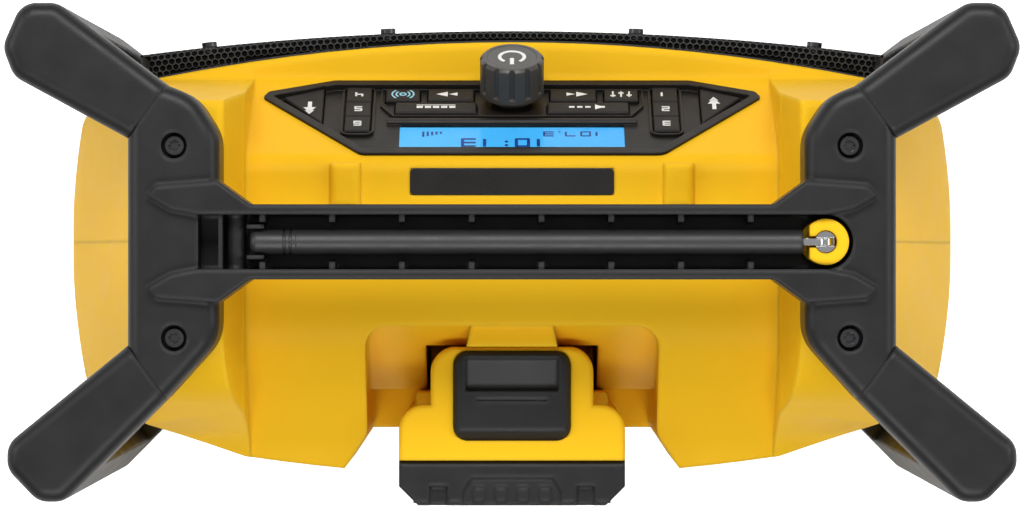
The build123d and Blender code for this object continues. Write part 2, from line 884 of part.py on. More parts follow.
def base_frame():
    """Bottom frame between the legs' lower arms, carrying the housing."""
    member = slab(member_outline(), (base_frame_bottom, body_bottom))
    frame = both_sides(member)
    for side in (-1, 1):
        y = sorted((side * cross_bar_y, side * (cross_bar_y + cross_bar_width)))
        frame += block((-member_in_x - 4, member_in_x + 4), y, (body_bottom - cross_bar_depth, body_bottom))
    for x, y in frame_screw_spots():
        frame -= upright(x, y, (0, base_frame_bottom + frame_head_height), frame_head_radius + 1.2)
        frame -= upright(x, y, (0, 2 * rail_top), frame_screw_radius + hole_gap)
    return frame


def frame_screws(top):
    """Four long screws that clamp a frame to the housing."""
    one = screw(frame_screw_radius, frame_screw_length - 6, frame_head_radius, frame_head_height, star_depth)
    if top:
        seat = frame_top - frame_head_depth - frame_head_height
        return solids([Pos(x, y, seat) * one for x, y in frame_screw_spots()])
    seat = base_frame_bottom + frame_head_height
    return solids([Pos(x, y, seat) * Rot(180, 0, 0) * one for x, y in frame_screw_spots()])


def leg_corners(front):
    """Plan of one leg on the +X side, from its inner seam corner round to its outer one."""
    if front:
        return [(seam_in_x, -seam_in_y), *front_tip, (member_out_x, -seam_out_y)]
    return [(seam_in_x, seam_in_y), *rear_tip, (member_out_x, seam_out_y)]


def leg_heading(front):
    """Angle of a leg's arms from the X axis and the length of the arms."""
    tips = front_tip if front else rear_tip
    sign = -1 if front else 1
    start_x = (seam_in_x + member_out_x) / 2
    start_y = sign * (seam_in_y + seam_out_y) / 2
    end_x = sum(x for x, y in tips) / len(tips)
    end_y = sum(y for x, y in tips) / len(tips)
    return start_x, start_y, math.atan2(end_y - start_y, end_x - start_x), \
        math.dist((start_x, start_y), (end_x, end_y))


def leg_plan(front):
    """Rounded outline of one leg from above, on the +X side."""
    corners = leg_corners(front)
    face = outline(corners)
    for x, y in corners[1:-1]:
        corner = face.vertices().sort_by_distance((x, y, 0))[0]
        face = fillet(corner, leg_corner_radius)
    return face


def leg_shape(front):
    """C-shaped loop: top arm, upright post at the corner, lower arm back under the body."""
    whole = slab(leg_plan(front), (pad_proud, frame_top))
    ends = whole.faces().filter_by(Axis.Z)
    loops = [edge for end in ends for edge in end.edges()]
    seam = Vector((seam_in_x + member_out_x) / 2, (seam_in_y + seam_out_y) / 2 * (-1 if front else 1))
    outer = [edge for edge in loops
             if math.hypot(edge.center().X - seam.X, edge.center().Y - seam.Y) > 1]
    whole = fillet(outer, leg_edge_radius)
    start_x, start_y, heading, length = leg_heading(front)
    inner_length = length - post_depth + 4
    window = Box(2 * inner_length, 4 * arm_depth, arm_bottom - body_bottom + 2)
    window = fillet(window.edges().filter_by(Axis.Y), 6)
    middle_z = (arm_bottom + body_bottom - 2) / 2
    whole -= Pos(start_x, start_y, middle_z) * Rot(0, 0, math.degrees(heading)) * window
    pad_x, pad_y = pad_spot(front)
    return whole - upright(pad_x, pad_y, (0, pad_thickness), pad_radius)


def pad_spot(front):
    """Middle of the rubber pad under a leg's corner, on the +X side."""
    start_x, start_y, heading, length = leg_heading(front)
    away = length - post_depth / 2 + 1
    return start_x + away * math.cos(heading), start_y + away * math.sin(heading)


def foot_pads():
    """Four rubber pads pressed into the undersides of the legs."""
    pads = []
    for front in (True, False):
        x, y = pad_spot(front)
        pad = upright(x, y, (0, pad_thickness), pad_radius - thread_gap)
        pad = chamfer(pad.edges().group_by(Axis.Z)[0], 0.6)
        pads += [pad, mirror(pad, Plane.YZ)]
    return solids(pads)


# -------------------------------------------------------------------------------------- aerial
def aerial_mount():
    """Round socket standing on the shoulder, slotted towards the folded mast."""
    low = shoulder_height - 2 * wall
    ring = upright(aerial_x, 0, (low, frame_top), mount_radius)
    ring -= upright(aerial_x, 0, (low + 4, 2 * rail_top), mount_bore)
    slot_bottom = aerial_z - tongue_radius - 2
    ring -= block((aerial_x, aerial_x + 2 * mount_radius), (-fork_gap / 2 - 0.6, fork_gap / 2 + 0.6),
                  (slot_bottom, 2 * rail_top))
    ring -= block((aerial_x + mount_cut, aerial_x + 2 * mount_radius), (-20, 20), (trough_floor, 2 * rail_top))
    return ring


def aerial_fork():
    """Turned metal base with two ears and the pin that the mast folds on."""
    low = shoulder_height - 2 * wall + 4
    body = upright(aerial_x, 0, (low, aerial_z + tongue_radius), fork_radius)
    body -= block((aerial_x - 10, aerial_x + 10), (-fork_gap / 2, fork_gap / 2),
                  (aerial_z - tongue_radius - 0.8, 2 * rail_top))
    return body + rod_y(aerial_x, aerial_z, (-fork_gap, fork_gap), pin_radius)


def aerial_knuckle():
    """Flat metal tongue on the pin, with a collar into the mast."""
    half = tongue_thickness / 2
    eye = rod_y(aerial_x, aerial_z, (-half, half), tongue_radius)
    tongue = block((aerial_x, aerial_x + mast_start), (-half, half),
                   (aerial_z - tongue_radius * 0.8, aerial_z + tongue_radius * 0.8))
    stub = rod_x(0, aerial_z, (aerial_x + mast_start, aerial_x + mast_start + 6), mast_radius / 2)
    return eye + tongue + stub - rod_y(aerial_x, aerial_z, (-5, 5), pin_radius + shaft_fit)


def aerial_mast():
    """Rubber-covered mast lying in the handle, bored for the knuckle at one end."""
    start = aerial_x + mast_start
    mast = rod_x(0, aerial_z, (start, mast_end_x), mast_radius)
    mast = fillet(mast.edges().group_by(Axis.X)[0], 1.2)
    mast -= rod_x(0, aerial_z, (start - 1, start + 6), mast_radius / 2)
    return mast


def aerial_tip():
    """End cap of the mast with a double ring groove."""
    tip = rod_x(0, aerial_z, (mast_end_x, tip_end_x), mast_radius)
    tip = fillet(tip.edges().group_by(Axis.X)[-1], 2.5)
    for x in (mast_end_x + 1.4, mast_end_x + 3.6):
        groove = rod_x(0, aerial_z, (x, x + 0.9), 2 * mast_radius)
        tip -= groove - rod_x(0, aerial_z, (x - 1, x + 2), mast_radius - 0.5)
    return tip


# -------------------------------------------------------------------------------- control panel
def button_faces():
    """Plan of every button on the flat panel, by node name."""
    faces = {}
    for side, word in ((-1, "left"), (1, "right")):
        faces["tune_button_" + word] = outline([
            (side * tune_tip_x, tune_tip_y * panel_unit),
            (side * tune_side_x, tune_low_y * panel_unit),
            (side * tune_side_x, tune_high_y * panel_unit),
        ])
        keys = [("seek", seek_x, seek_y, seek_width, seek_height),
                ("wide", mode_x, mode_y, mode_width, mode_height),
                ("small", small_x, seek_y, small_width, seek_height)]
        for key, x, y, width, height in keys:
            face = Pos(side * x, y * panel_unit) * Rectangle(width, height * panel_unit)
            faces[key + "_button_" + word] = face
        for row, y in enumerate(preset_y):
            number = row + 1 if side < 0 else row + 1 + len(preset_y)
            face = Pos(side * preset_x, y * panel_unit) * Rectangle(preset_width, preset_height * panel_unit)
            faces["preset_button_" + str(number)] = face
    return faces


def control_bezel():
    """Black panel frame: flange on the housing, sunk tray, ledge and the button openings."""
    bezel = slab(panel_face(0), (0, bezel_proud))
    bezel += slab(panel_face(-bezel_flange), (-bezel_depth, 0))
    bezel -= slab(panel_face(-bezel_rim), (-tray_depth, 2 * bezel_proud))
    ledge_top = lens_low - 2 * lens_fit
    ledge = block((-ledge_half_width, ledge_half_width), (ledge_top - ledge_height * panel_unit, ledge_top),
                  (-tray_depth, -tray_depth + ledge_rise))
    bezel += chamfer(ledge.edges().filter_by(Axis.X).group_by(Axis.Z)[-1], 0.8)
    for face in button_faces().values():
        bezel -= slab(offset(face, amount=button_gap), (-2 * bezel_depth, 2 * bezel_depth))
    bezel -= block((-lens_half_width - lens_fit, lens_half_width + lens_fit),
                   (lens_low - lens_fit, lens_high + lens_fit), (-2 * bezel_depth, 0))
    bezel -= Pos(0, knob_middle, 0) * Cylinder(bushing_radius, 4 * bezel_depth)
    for x, y in peg_spots():
        bezel += upright(x, y, (board_top, -bezel_depth), peg_radius)
    return on_panel(bezel)


def peg_spots():
    """Pegs that hold the button board under the bezel."""
    return [(side * x, y * panel_unit) for side in (-1, 1) for x, y in peg_places]


def control_button(face):
    """One button: a crowned key that travels straight in through the tray."""
    key = slab(face, (-button_height_below, button_proud - tray_depth + 1))
    top = key.faces().sort_by(Axis.Z)[-1].edges()
    return on_panel(chamfer(top, 0.5))


def display_lens():
    """Clear window in the tray."""
    lens = block((-lens_half_width, lens_half_width), (lens_low, lens_high),
                 (-tray_depth - lens_thickness, -tray_depth))
    return on_panel(lens)


def display_module():
    """Backlit display behind the window."""
    back = block((-lens_half_width - 1, lens_half_width + 1), (lens_low - 1, lens_high + 1),
                 (board_top, -bezel_depth))
    front = block((-lens_half_width, lens_half_width), (lens_low, lens_high),
                  (board_top, -tray_depth - lens_thickness))
    return on_panel(back + front)


def button_board():
    """Circuit board that carries the switches, the display and the encoder."""
    return on_panel(slab(panel_face(-bezel_rim - 2), (board_top - board_thickness, board_top)))


def knob_encoder():
    """Rotary encoder: its box on the board and its bushing through the bezel."""
    box = block((-encoder_half, encoder_half), (knob_middle - encoder_half, knob_middle + encoder_half),
                (board_top, -bezel_depth))
    bushing = upright(0, knob_middle, (-bezel_depth, bushing_top), bushing_radius)
    return on_panel(box + bushing - upright(0, knob_middle, (2 * board_top, knob_top()), shaft_radius + shaft_fit))


def knob_top():
    """Height of the knob's end above the panel."""
    return knob_lift + knob_length


def knob_shaft():
    """Round shaft that slides in the encoder when the knob is pressed."""
    low = board_top + push_travel + 2 * shaft_fit
    return on_panel(upright(0, knob_middle, (low, knob_top() - knob_roof), shaft_radius))


def volume_knob():
    """Fluted knob on a narrower neck, with a recess in its end for the cap."""
    knob = upright(0, knob_middle, (knob_lift, knob_top()), knob_half)
    knob = chamfer(knob.edges().group_by(Axis.Z)[-1], knob_chamfer)
    for index in range(flute_count):
        angle = 2 * math.pi * index / flute_count
        knob -= upright(knob_half * math.cos(angle), knob_middle + knob_half * math.sin(angle),
                        (knob_lift + 2 * knob_chamfer, 2 * knob_top()), flute_radius)
    knob += upright(0, knob_middle, (0, knob_lift), knob_neck_radius * panel_unit)
    knob -= upright(0, knob_middle, (-knob_length, knob_top() - knob_roof), shaft_radius + shaft_fit)
    knob -= upright(0, knob_middle, (-knob_length, bushing_top + push_travel + fit_gap), bushing_radius + fit_gap)
    knob -= upright(0, knob_middle, (knob_top() - cap_recess, 2 * knob_top()), knob_half - cap_border * panel_unit)
    return on_panel(knob)


def knob_cap():
    """Disc in the knob's end."""
    return on_panel(upright(0, knob_middle, (knob_top() - cap_recess, knob_top() - thread_gap),
                            knob_half - cap_border * panel_unit))


# ------------------------------------------------------------------------------------ inside
def board_spots():
    """Posts from the bay's front wall to the main board, from the front."""
    heights = (board_low + board_post_in, board_high - board_post_in)
    return [(x, z) for x in (-board_post_x, board_post_x) for z in heights]


def board_posts():
    """Round posts on the inside of the bay's front wall."""
    post_end_y = tower_front_y - tower_clearance - wall / 2
    room = bay_room(0)
    return [rod_y(x, z, (board_seat_y(), post_end_y), board_post_radius) - room for x, z in board_spots()]


def board_seat_y():
    """Where the main board stands."""
    return bay_front_y - wall - board_gap


def main_board():
    """Main circuit board with a few tall parts."""
    seat = board_seat_y()
    face = seat - board_thickness
    board = block((-board_half_width, board_half_width), (face, seat), (board_low, board_high))
    board += block((-heat_sink_half, heat_sink_half), (face - tall_part, face),
                   (heat_sink_low, heat_sink_low + heat_sink_height))
    for x in can_places:
        board += rod_y(x, can_z, (face - tall_part, face), can_radius)
    return board


def shell_screws():
    """Four long screws that pull the housing halves together from behind."""
    one = Rot(-90, 0, 0) * screw(shell_screw_radius, shell_screw_length, small_head_radius, 2, 1.0)
    return solids([Pos(x, shell_screw_seat_y(), z) * one for x, z in shell_screw_spots()])


def label_plate():
    """Bare plate let into the plateau."""
    low = plateau_height - label_recess
    plate = block((-label_half_width + 0.1, label_half_width - 0.1),
                  (label_y - label_depth / 2 + 0.1, label_y + label_depth / 2 - 0.1),
                  (low, low + label_thickness))
    return fillet(plate.edges().filter_by(Axis.Z), 1.5)


# ------------------------------------------------------------------------------- battery pack
def battery_dock():
    """Rail on the bay wall and the terminal block at its foot."""
    web = block((-rail_web_half, rail_web_half), (tower_front_y - fit_gap, rail_end_y), (bay_floor, rail_top_z))
    flange = block((-rail_flange_half, rail_flange_half), (rail_flange_y, rail_end_y), (bay_floor, rail_top_z))
    foot = block((-dock_half_width, dock_half_width), (tower_front_y - fit_gap, dock_depth_y),
                 (bay_floor, bay_floor + dock_height))
    dock = web + flange + foot
    for x in blade_x:
        dock -= blade(x)
    return dock


def blade(x):
    """One upright contact blade."""
    middle = (rail_end_y + dock_depth_y) / 2
    return block((x - blade_thickness / 2, x + blade_thickness / 2),
                 (middle - blade_width / 2, middle + blade_width / 2),
                 (bay_floor + 1.5, bay_floor + dock_height + blade_length))


def rail_room():
    """Channel in the pack for the rail, open at its foot, and the slots for the blades."""
    top = rail_top_z + 4
    room = block((-rail_web_half - rail_fit, rail_web_half + rail_fit), (0, rail_end_y + rail_fit), (0, top))
    room += block((-rail_flange_half - rail_fit, rail_flange_half + rail_fit),
                  (rail_flange_y - rail_fit, rail_end_y + rail_fit), (0, top))
    middle = (rail_end_y + dock_depth_y) / 2
    for x in blade_x:
        room += block((x - blade_slot / 2, x + blade_slot / 2),
                      (middle - blade_width / 2 - 0.5, middle + blade_width / 2 + 0.5),
                      (0, bay_floor + dock_height + blade_length + 2))
    return room


def pack_room():
    """Cavity for the cells."""
    half = cell_length / 2 + fit_gap
    front = cell_rows()[0] - cell_radius - fit_gap
    return block((-half, half), (front, pack_rear_y - pack_wall),
                 (pack_bottom + pack_wall, pack_top - release_depth - pack_wall - 2))


def cell_rows():
    """Y of the two layers of cells."""
    rear = pack_rear_y - pack_wall - cell_radius - 0.1
    return [rear - cell_pitch, rear]


def pack_front_shell():
    """Upper half of the pack: a narrow tower on wider shoulders."""
    tower = rounded([
        (-tower_half_width, tower_front_y, tower_radius),
        (tower_half_width, tower_front_y, tower_radius),
        (tower_half_width, pack_parting_y, 0),
        (-tower_half_width, pack_parting_y, 0),
    ])
    shoulders = rounded([
        (-pack_half_width, shoulder_y, shoulder_radius),
        (pack_half_width, shoulder_y, shoulder_radius),
        (pack_half_width, pack_parting_y, 0),
        (-pack_half_width, pack_parting_y, 0),
    ])
    shell = slab(tower, (pack_bottom, pack_top)) + slab(shoulders, (pack_bottom, pack_top))
    shell = chamfer(shell.faces().sort_by(Axis.Z)[-1].edges().filter_by(Axis.Y), 1.2)
    cheek_half = cell_length / 2 + fit_gap + pack_wall
    cheek_front = cell_rows()[0] - cell_radius - fit_gap - cheek_wall
    cheeks = rounded([
        (-cheek_half, cheek_front, cheek_wall),
        (cheek_half, cheek_front, cheek_wall),
        (cheek_half, pack_parting_y, 0),
        (-cheek_half, pack_parting_y, 0),
    ])
    shell += slab(cheeks, (pack_bottom, pack_top - release_depth))
    shell = shell - rail_room() - pack_room() - release_room()
    for hole in pack_screw_holes():
        shell -= hole
    return shell


def release_room():
    """Recess in the pack's end for the release button."""
    return slab(release_outline(rail_fit), (pack_top - release_depth - release_travel, 2 * pack_top))


def release_outline(grow):
    """Outline of the release button, or of its recess when grown by the fit."""
    half = release_half_width + grow
    front = tower_front_y + release_wall - grow
    rear = release_rear_y + grow
    return rounded([
        (-half, front, release_radius + grow),
        (half, front, release_radius + grow),
        (half, rear, release_radius + grow),
        (-half, rear, release_radius + grow),
    ])


def release_button():
    """Thumb button on the pack's end: a sunk grip panel, a ridge, and a rear edge that falls off."""
    top = pack_top + release_proud
    front = tower_front_y + release_wall
    button = slab(release_outline(0), (pack_top - release_depth, top))
    button = chamfer(button.faces().sort_by(Axis.Z)[-1].edges(), release_chamfer)
    grip = make_face(Polyline(
        (front + grip_front, top + 1), (front + grip_front, top - grip_depth / 2),
        (front + grip_rear, top - grip_depth), (front + grip_rear + grip_depth / 2, top + 1), close=True))
    button -= Pos(-grip_half, 0, 0) * extrude(Plane.YZ * grip, 2 * grip_half)
    fall = make_face(Polyline(
        (release_rear_y - fall_length, top), (release_rear_y - fall_length, top + 1),
        (release_rear_y + 1, top + 1), (release_rear_y + 1, top - fall_length), (release_rear_y, top - fall_length),
        close=True))
    button -= Pos(-release_half_width - 1, 0, 0) * extrude(Plane.YZ * fall, 2 * release_half_width + 2)
    groove = block((-grip_half + 4, grip_half - 4), (front + groove_y, front + groove_y + groove_width),
                   (top - groove_width, top + 1))
    return button - groove


def pack_base_shell():
    """Lower half of the pack, chamfered at its outer corners, with a raised middle."""
    face = outline([
        (-pack_half_width, pack_parting_y),
        (pack_half_width, pack_parting_y),
        (pack_half_width, pack_rear_y - base_chamfer),
        (pack_half_width - base_chamfer, pack_rear_y),
        (-pack_half_width + base_chamfer, pack_rear_y),
        (-pack_half_width, pack_rear_y - base_chamfer),
    ])
    top = pack_top - base_step
    shell = slab(face, (pack_bottom, top))
    shell = chamfer(shell.faces().sort_by(Axis.Z)[-1].edges().filter_by(Axis.X), release_chamfer)
    for side in (-1, 1):
        shell -= block(sorted((side * notch_inner_x, side * (notch_inner_x + notch_width))),
                       (pack_rear_y - notch_length, pack_rear_y + 1), (top - notch_depth, pack_top))
    sunk = outline([
        (-base_panel_half, pack_rear_y + 1), (-base_panel_half, pack_rear_y - base_panel_length / 2),
        (-base_panel_half + 3, pack_rear_y - base_panel_length), (base_panel_half - 3, pack_rear_y - base_panel_length),
        (base_panel_half, pack_rear_y - base_panel_length / 2), (base_panel_half, pack_rear_y + 1),
    ])
    shell -= slab(sunk, (top - base_panel_depth, pack_top))
    for index in range(base_rib_count):
        middle = (index - (base_rib_count - 1) / 2) * base_rib_pitch
        shell += block((middle - base_rib_width / 2, middle + base_rib_width / 2),
                       (pack_rear_y - base_panel_length * 2 / 3, pack_rear_y - release_chamfer), (top - 2, top - 0.2))
    shell -= pack_room()
    for hole in pack_screw_holes():
        shell -= hole
    return shell


def pack_cells():
    """Ten round cells lying across the pack in two layers."""
    cells = []
    for row in cell_rows():
        for index in range(cell_count):
            z = pack_bottom + pack_wall + cell_radius + 0.2 + index * cell_pitch
            cells.append(rod_x(row, z, (-cell_length / 2, cell_length / 2), cell_radius))
    return solids(cells)


def pack_contacts():
    """Four contact springs beside the slots for the blades."""
    middle = (rail_end_y + dock_depth_y) / 2
    low = pack_bottom + 1.5
    contacts = []
    for x in blade_x:
        edge = x + blade_slot / 2
        contacts.append(block((edge - contact_thickness, edge), (middle - blade_width / 2, middle + blade_width / 2),
                              (low, bay_floor + dock_height + blade_length)))
    return solids(contacts)


def pack_screw_spots():
    """Screws that close the pack, from the back."""
    return [(side * (pack_half_width - pack_corner - small_head_radius - 1), pack_top - release_depth)
            for side in (-1, 1)]


def pack_screw_holes():
    """Holes for the pack screws, with room for their heads in the lower half."""
    holes = []
    for x, z in pack_screw_spots():
        holes.append(rod_y(x, z, (pack_parting_y - 12, 2 * pack_rear_y), small_screw_radius + thread_gap))
        holes.append(rod_y(x, z, (pack_screw_seat_y(), 2 * pack_rear_y), small_head_radius + hole_gap))
    return holes


def pack_screw_seat_y():
    """Where the heads of the pack screws sit."""
    return pack_rear_y - small_head_height - 0.6


def pack_screws():
    """Two small screws through the pack's lower half."""
    length = pack_screw_seat_y() - pack_parting_y + 10
    one = Rot(-90, 0, 0) * screw(small_screw_radius, length, small_head_radius, small_head_height, 1.0)
    return solids([Pos(x, pack_screw_seat_y(), z) * one for x, z in pack_screw_spots()])


# ------------------------------------------------------------------------------ write the nodes
origin_y = (leg_plan(True).bounding_box().min.Y + pack_rear_y) / 2
keep("front_housing", housing_half(False))
keep("rear_housing", housing_half(True))
keep("housing_screws", shell_screws())
keep("handle_frame", handle_frame())
keep("handle_screws", frame_screws(True))
keep("base_frame", base_frame())
keep("base_screws", frame_screws(False))
for front, word in ((True, "front"), (False, "rear")):
    shape = leg_shape(front)
    keep("leg_" + word + "_right", shape)
    keep("leg_" + word + "_left", mirror(shape, Plane.YZ))
keep("foot_pads", foot_pads())
keep("grille", grille())
keep("grille_screws", grille_screws())
for side, word in ((-1, "left"), (1, "right")):
    keep("speaker_frame_" + word, speaker_frame(side))
    keep("speaker_cone_" + word, speaker_cone(side))
    keep("speaker_magnet_" + word, speaker_magnet(side))
keep("speaker_screws", speaker_screws())
keep("aerial_mount", aerial_mount())
keep("aerial_fork", aerial_fork())
keep("aerial_knuckle", aerial_knuckle())
keep("aerial_mast", aerial_mast())
keep("aerial_tip", aerial_tip())
keep("control_bezel", control_bezel())
for name, face in button_faces().items():
    keep(name, control_button(face))
keep("display_lens", display_lens())
keep("display_module", display_module())
keep("button_board", button_board())
keep("knob_encoder", knob_encoder())
keep("knob_shaft", knob_shaft())
keep("volume_knob", volume_knob())
keep("knob_cap", knob_cap())
keep("main_board", main_board())
keep("label_plate", label_plate())
keep("battery_dock", battery_dock())
keep("dock_blades", solids([blade(x) for x in blade_x]))
keep("pack_front_shell", pack_front_shell())
keep("pack_base_shell", pack_base_shell())
keep("pack_cells", pack_cells())
keep("pack_contacts", pack_contacts())
keep("pack_screws", pack_screws())
keep("pack_release", release_button())
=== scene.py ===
import math

import bmesh
import bpy
from mathutils import Matrix, Vector


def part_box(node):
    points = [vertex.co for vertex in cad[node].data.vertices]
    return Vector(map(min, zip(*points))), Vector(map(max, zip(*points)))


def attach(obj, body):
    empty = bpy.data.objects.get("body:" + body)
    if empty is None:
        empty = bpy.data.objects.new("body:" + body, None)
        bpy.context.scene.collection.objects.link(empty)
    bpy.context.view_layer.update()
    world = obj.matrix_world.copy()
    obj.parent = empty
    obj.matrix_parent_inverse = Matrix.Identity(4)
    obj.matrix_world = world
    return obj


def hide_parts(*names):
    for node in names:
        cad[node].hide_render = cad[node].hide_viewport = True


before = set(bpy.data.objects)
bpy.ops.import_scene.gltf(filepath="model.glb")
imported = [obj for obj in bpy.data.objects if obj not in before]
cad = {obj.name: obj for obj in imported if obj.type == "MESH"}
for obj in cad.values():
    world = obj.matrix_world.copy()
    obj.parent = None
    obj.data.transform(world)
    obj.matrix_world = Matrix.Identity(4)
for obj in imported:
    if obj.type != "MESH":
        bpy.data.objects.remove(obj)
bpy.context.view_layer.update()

# ------------------------------------------------------------------------------------ housing
# Two hollow halves of tough yellow plastic, parted at the plane through the handle and pulled
# together by four long screws from behind. Fine spark-eroded grain, satin, with a painted
# highlight on its edges: they are a little paler.
yellow = (0.88, 0.52, 0.016, 1)
deep_yellow = (0.86, 0.475, 0.012, 1)
# Paler yellow painted along the edges as a highlight.
yellow_edge_highlight = (0.92, 0.6, 0.04, 1)


def add(tree, kind, inputs=None, **settings):
    """Add a shader node; each input is a number, a colour or the output of another node."""
    made = tree.nodes.new("ShaderNode" + kind)
    for name, value in settings.items():
        setattr(made, name, value)
    for name, value in (inputs or {}).items():
        if isinstance(value, bpy.types.NodeSocket):
            tree.links.new(value, made.inputs[name])
        else:
            made.inputs[name].default_value = value
    return made


def blended(tree, share, first, second):
    """One colour turning into another as the share goes from 0 to 1."""
    mix = add(tree, "Mix", data_type="RGBA")
    for index, value in ((0, share), (6, first), (7, second)):
        if isinstance(value, bpy.types.NodeSocket):
            tree.links.new(value, mix.inputs[index])
        else:
            mix.inputs[index].default_value = value
    return mix.outputs[2]


def moulded(name, colour, deeper, edge_highlight, roughness, grain=1400, depth=0.25, rounding=0.0012,
            specular=0.5):
    """Moulded plastic or rubber: cloudy colour, fine grain, softened edges with a painted highlight along
    them.
    """
    material = bpy.data.materials.new(name)
    material.use_nodes = True
    tree = material.node_tree
    shader = tree.nodes["Principled BSDF"]
    place = add(tree, "TexCoord").outputs["Object"]
    cloud = add(tree, "TexNoise", {"Vector": place, "Scale": 14, "Detail": 4}).outputs["Fac"]
    smear = add(tree, "TexNoise", {"Vector": place, "Scale": 90, "Detail": 3}).outputs["Fac"]
    pits = add(tree, "TexNoise", {"Vector": place, "Scale": grain, "Detail": 2}).outputs["Fac"]
    soft = add(tree, "Bevel", {"Radius": rounding}, samples=6).outputs["Normal"]
    true_normal = add(tree, "NewGeometry").outputs["Normal"]
    agree = add(tree, "VectorMath", {0: soft, 1: true_normal}, operation="DOT_PRODUCT").outputs["Value"]
    # Painted highlight: where the softened normal turns away from the true one, the colour is lifted towards
    # the paler edge colour.
    edge = add(tree, "MapRange", {"Value": agree, "From Min": 0.995, "From Max": 0.8,
                                  "To Min": 0.0, "To Max": 0.55}).outputs["Result"]
    body = blended(tree, cloud, colour, deeper)
    tree.links.new(blended(tree, edge, body, edge_highlight), shader.inputs["Base Color"])
    gloss = add(tree, "MapRange", {"Value": smear, "From Min": 0.3, "From Max": 0.7,
                                   "To Min": roughness - 0.04, "To Max": roughness + 0.05})
    tree.links.new(gloss.outputs["Result"], shader.inputs["Roughness"])
    bump = add(tree, "Bump", {"Height": pits, "Normal": soft, "Strength": depth, "Distance": 0.00012})
    tree.links.new(bump.outputs["Normal"], shader.inputs["Normal"])
    shader.inputs["Specular IOR Level"].default_value = specular
    return material


def dress(name, material):
    """Give a solid its material; curved faces are shaded smoothly, flat ones flat, edges kept."""
    crease = 32
    node = cad[name]
    node.data.materials.clear()
    node.data.materials.append(material)
    for face in node.data.polygons:
        face.use_smooth = True
    weld = node.modifiers.new("weld", "WELD")
    weld.merge_threshold = 0.00001
    split = node.modifiers.new("edges", "EDGE_SPLIT")
    split.split_angle = math.radians(crease)
    node.modifiers.new("flats", "WEIGHTED_NORMAL")


yellow_plastic = moulded("yellow_plastic", yellow, deep_yellow, yellow_edge_highlight, 0.42, rounding=0.0026,
                         specular=0.05)
dress("front_housing", yellow_plastic)
dress("rear_housing", yellow_plastic)
dress("aerial_mount", yellow_plastic)

# --------------------------------------------------------------------------------------- cage
# Four C-shaped legs, a top frame with the grip and a bottom frame, all moulded in black glass-
# filled plastic with a satin grain and broad rounded edges. Black steel screws clamp them.
# Its paler third colour is a painted highlight along the edges.
black_plastic = moulded("black_plastic", (0.0135, 0.0135, 0.0138, 1), (0.0095, 0.0095, 0.0098, 1),
                        (0.038, 0.038, 0.039, 1), 0.4, rounding=0.0024, specular=0.32)
for name in ("handle_frame", "base_frame", "leg_front_left", "leg_front_right",
             "leg_rear_left", "leg_rear_right"):
    dress(name, black_plastic)


def metal(name, colour, other, roughness):
    """Machined metal with faint stains."""
    material = bpy.data.materials.new(name)
    material.use_nodes = True
    tree = material.node_tree
    shader = tree.nodes["Principled BSDF"]
    place = add(tree, "TexCoord").outputs["Object"]
    stain = add(tree, "TexNoise", {"Vector": place, "Scale": 400, "Detail": 4}).outputs["Fac"]
    tree.links.new(blended(tree, stain, colour, other), shader.inputs["Base Color"])
    shader.inputs["Metallic"].default_value = 1.0
    gloss = add(tree, "MapRange", {"Value": stain, "To Min": roughness - 0.06, "To Max": roughness + 0.08})
    tree.links.new(gloss.outputs["Result"], shader.inputs["Roughness"])
    soft = add(tree, "Bevel", {"Radius": 0.0003}, samples=4).outputs["Normal"]
    bump = add(tree, "Bump", {"Height": stain, "Normal": soft, "Strength": 0.1, "Distance": 0.0001})
    tree.links.new(bump.outputs["Normal"], shader.inputs["Normal"])
    return material


black_steel = metal("black_steel", (0.1, 0.1, 0.105, 1), (0.06, 0.06, 0.063, 1), 0.32)
for name in ("handle_screws", "base_screws", "housing_screws", "grille_screws", "speaker_screws",
             "pack_screws"):
    dress(name, black_steel)

black_rubber = moulded("black_rubber", (0.022, 0.022, 0.023, 1), (0.016, 0.016, 0.017, 1),
                       (0.05, 0.05, 0.05, 1), 0.62, grain=900, depth=0.35)
dress("foot_pads", black_rubber)

# ------------------------------------------------------------------------------------- aerial
# Rubber-sleeved mast folded into the grip, hinged on a bright turned fork in a yellow socket.
mast_rubber = moulded("mast_rubber", (0.024, 0.024, 0.0245, 1), (0.019, 0.019, 0.0195, 1),
                      (0.05, 0.05, 0.05, 1), 0.45, grain=1000, depth=0.2, rounding=0.0006)
dress("aerial_mast", mast_rubber)
dress("aerial_tip", mast_rubber)
bright_steel = metal("bright_steel", (0.83, 0.84, 0.86, 1), (0.72, 0.73, 0.75, 1), 0.16)
dress("aerial_fork", bright_steel)
dress("aerial_knuckle", bright_steel)

# ------------------------------------------------------------------------------ control panel
# Black moulded frame sunk in the sloping front, with rubber keys, a push-and-turn knob and a
# backlit display behind a clear window.
panel_plastic = moulded("panel_plastic", (0.014, 0.0115, 0.009, 1), (0.01, 0.0085, 0.007, 1),
                        (0.05, 0.045, 0.04, 1), 0.4, rounding=0.0008, specular=0.2)
dress("control_bezel", panel_plastic)
key_rubber = moulded("key_rubber", (0.013, 0.0115, 0.01, 1), (0.0095, 0.0085, 0.0075, 1),
                     (0.055, 0.05, 0.046, 1), 0.5, grain=1100, rounding=0.0009, specular=0.22)
for name in cad:
    if "_button_" in name:
        dress(name, key_rubber)
knob_rubber = moulded("knob_rubber", (0.062, 0.056, 0.047, 1), (0.05, 0.045, 0.038, 1),
                      (0.1, 0.1, 0.1, 1), 0.36, grain=1100, rounding=0.0008, specular=0.5)
dress("volume_knob", knob_rubber)
dress("knob_cap", knob_rubber)
dress("knob_shaft", bright_steel)
dress("knob_encoder", bright_steel)

board_green = moulded("board_green", (0.02, 0.16, 0.06, 1), (0.015, 0.11, 0.05, 1),
                      (0.1, 0.3, 0.15, 1), 0.35)
dress("button_board", board_green)
dress("main_board", board_green)

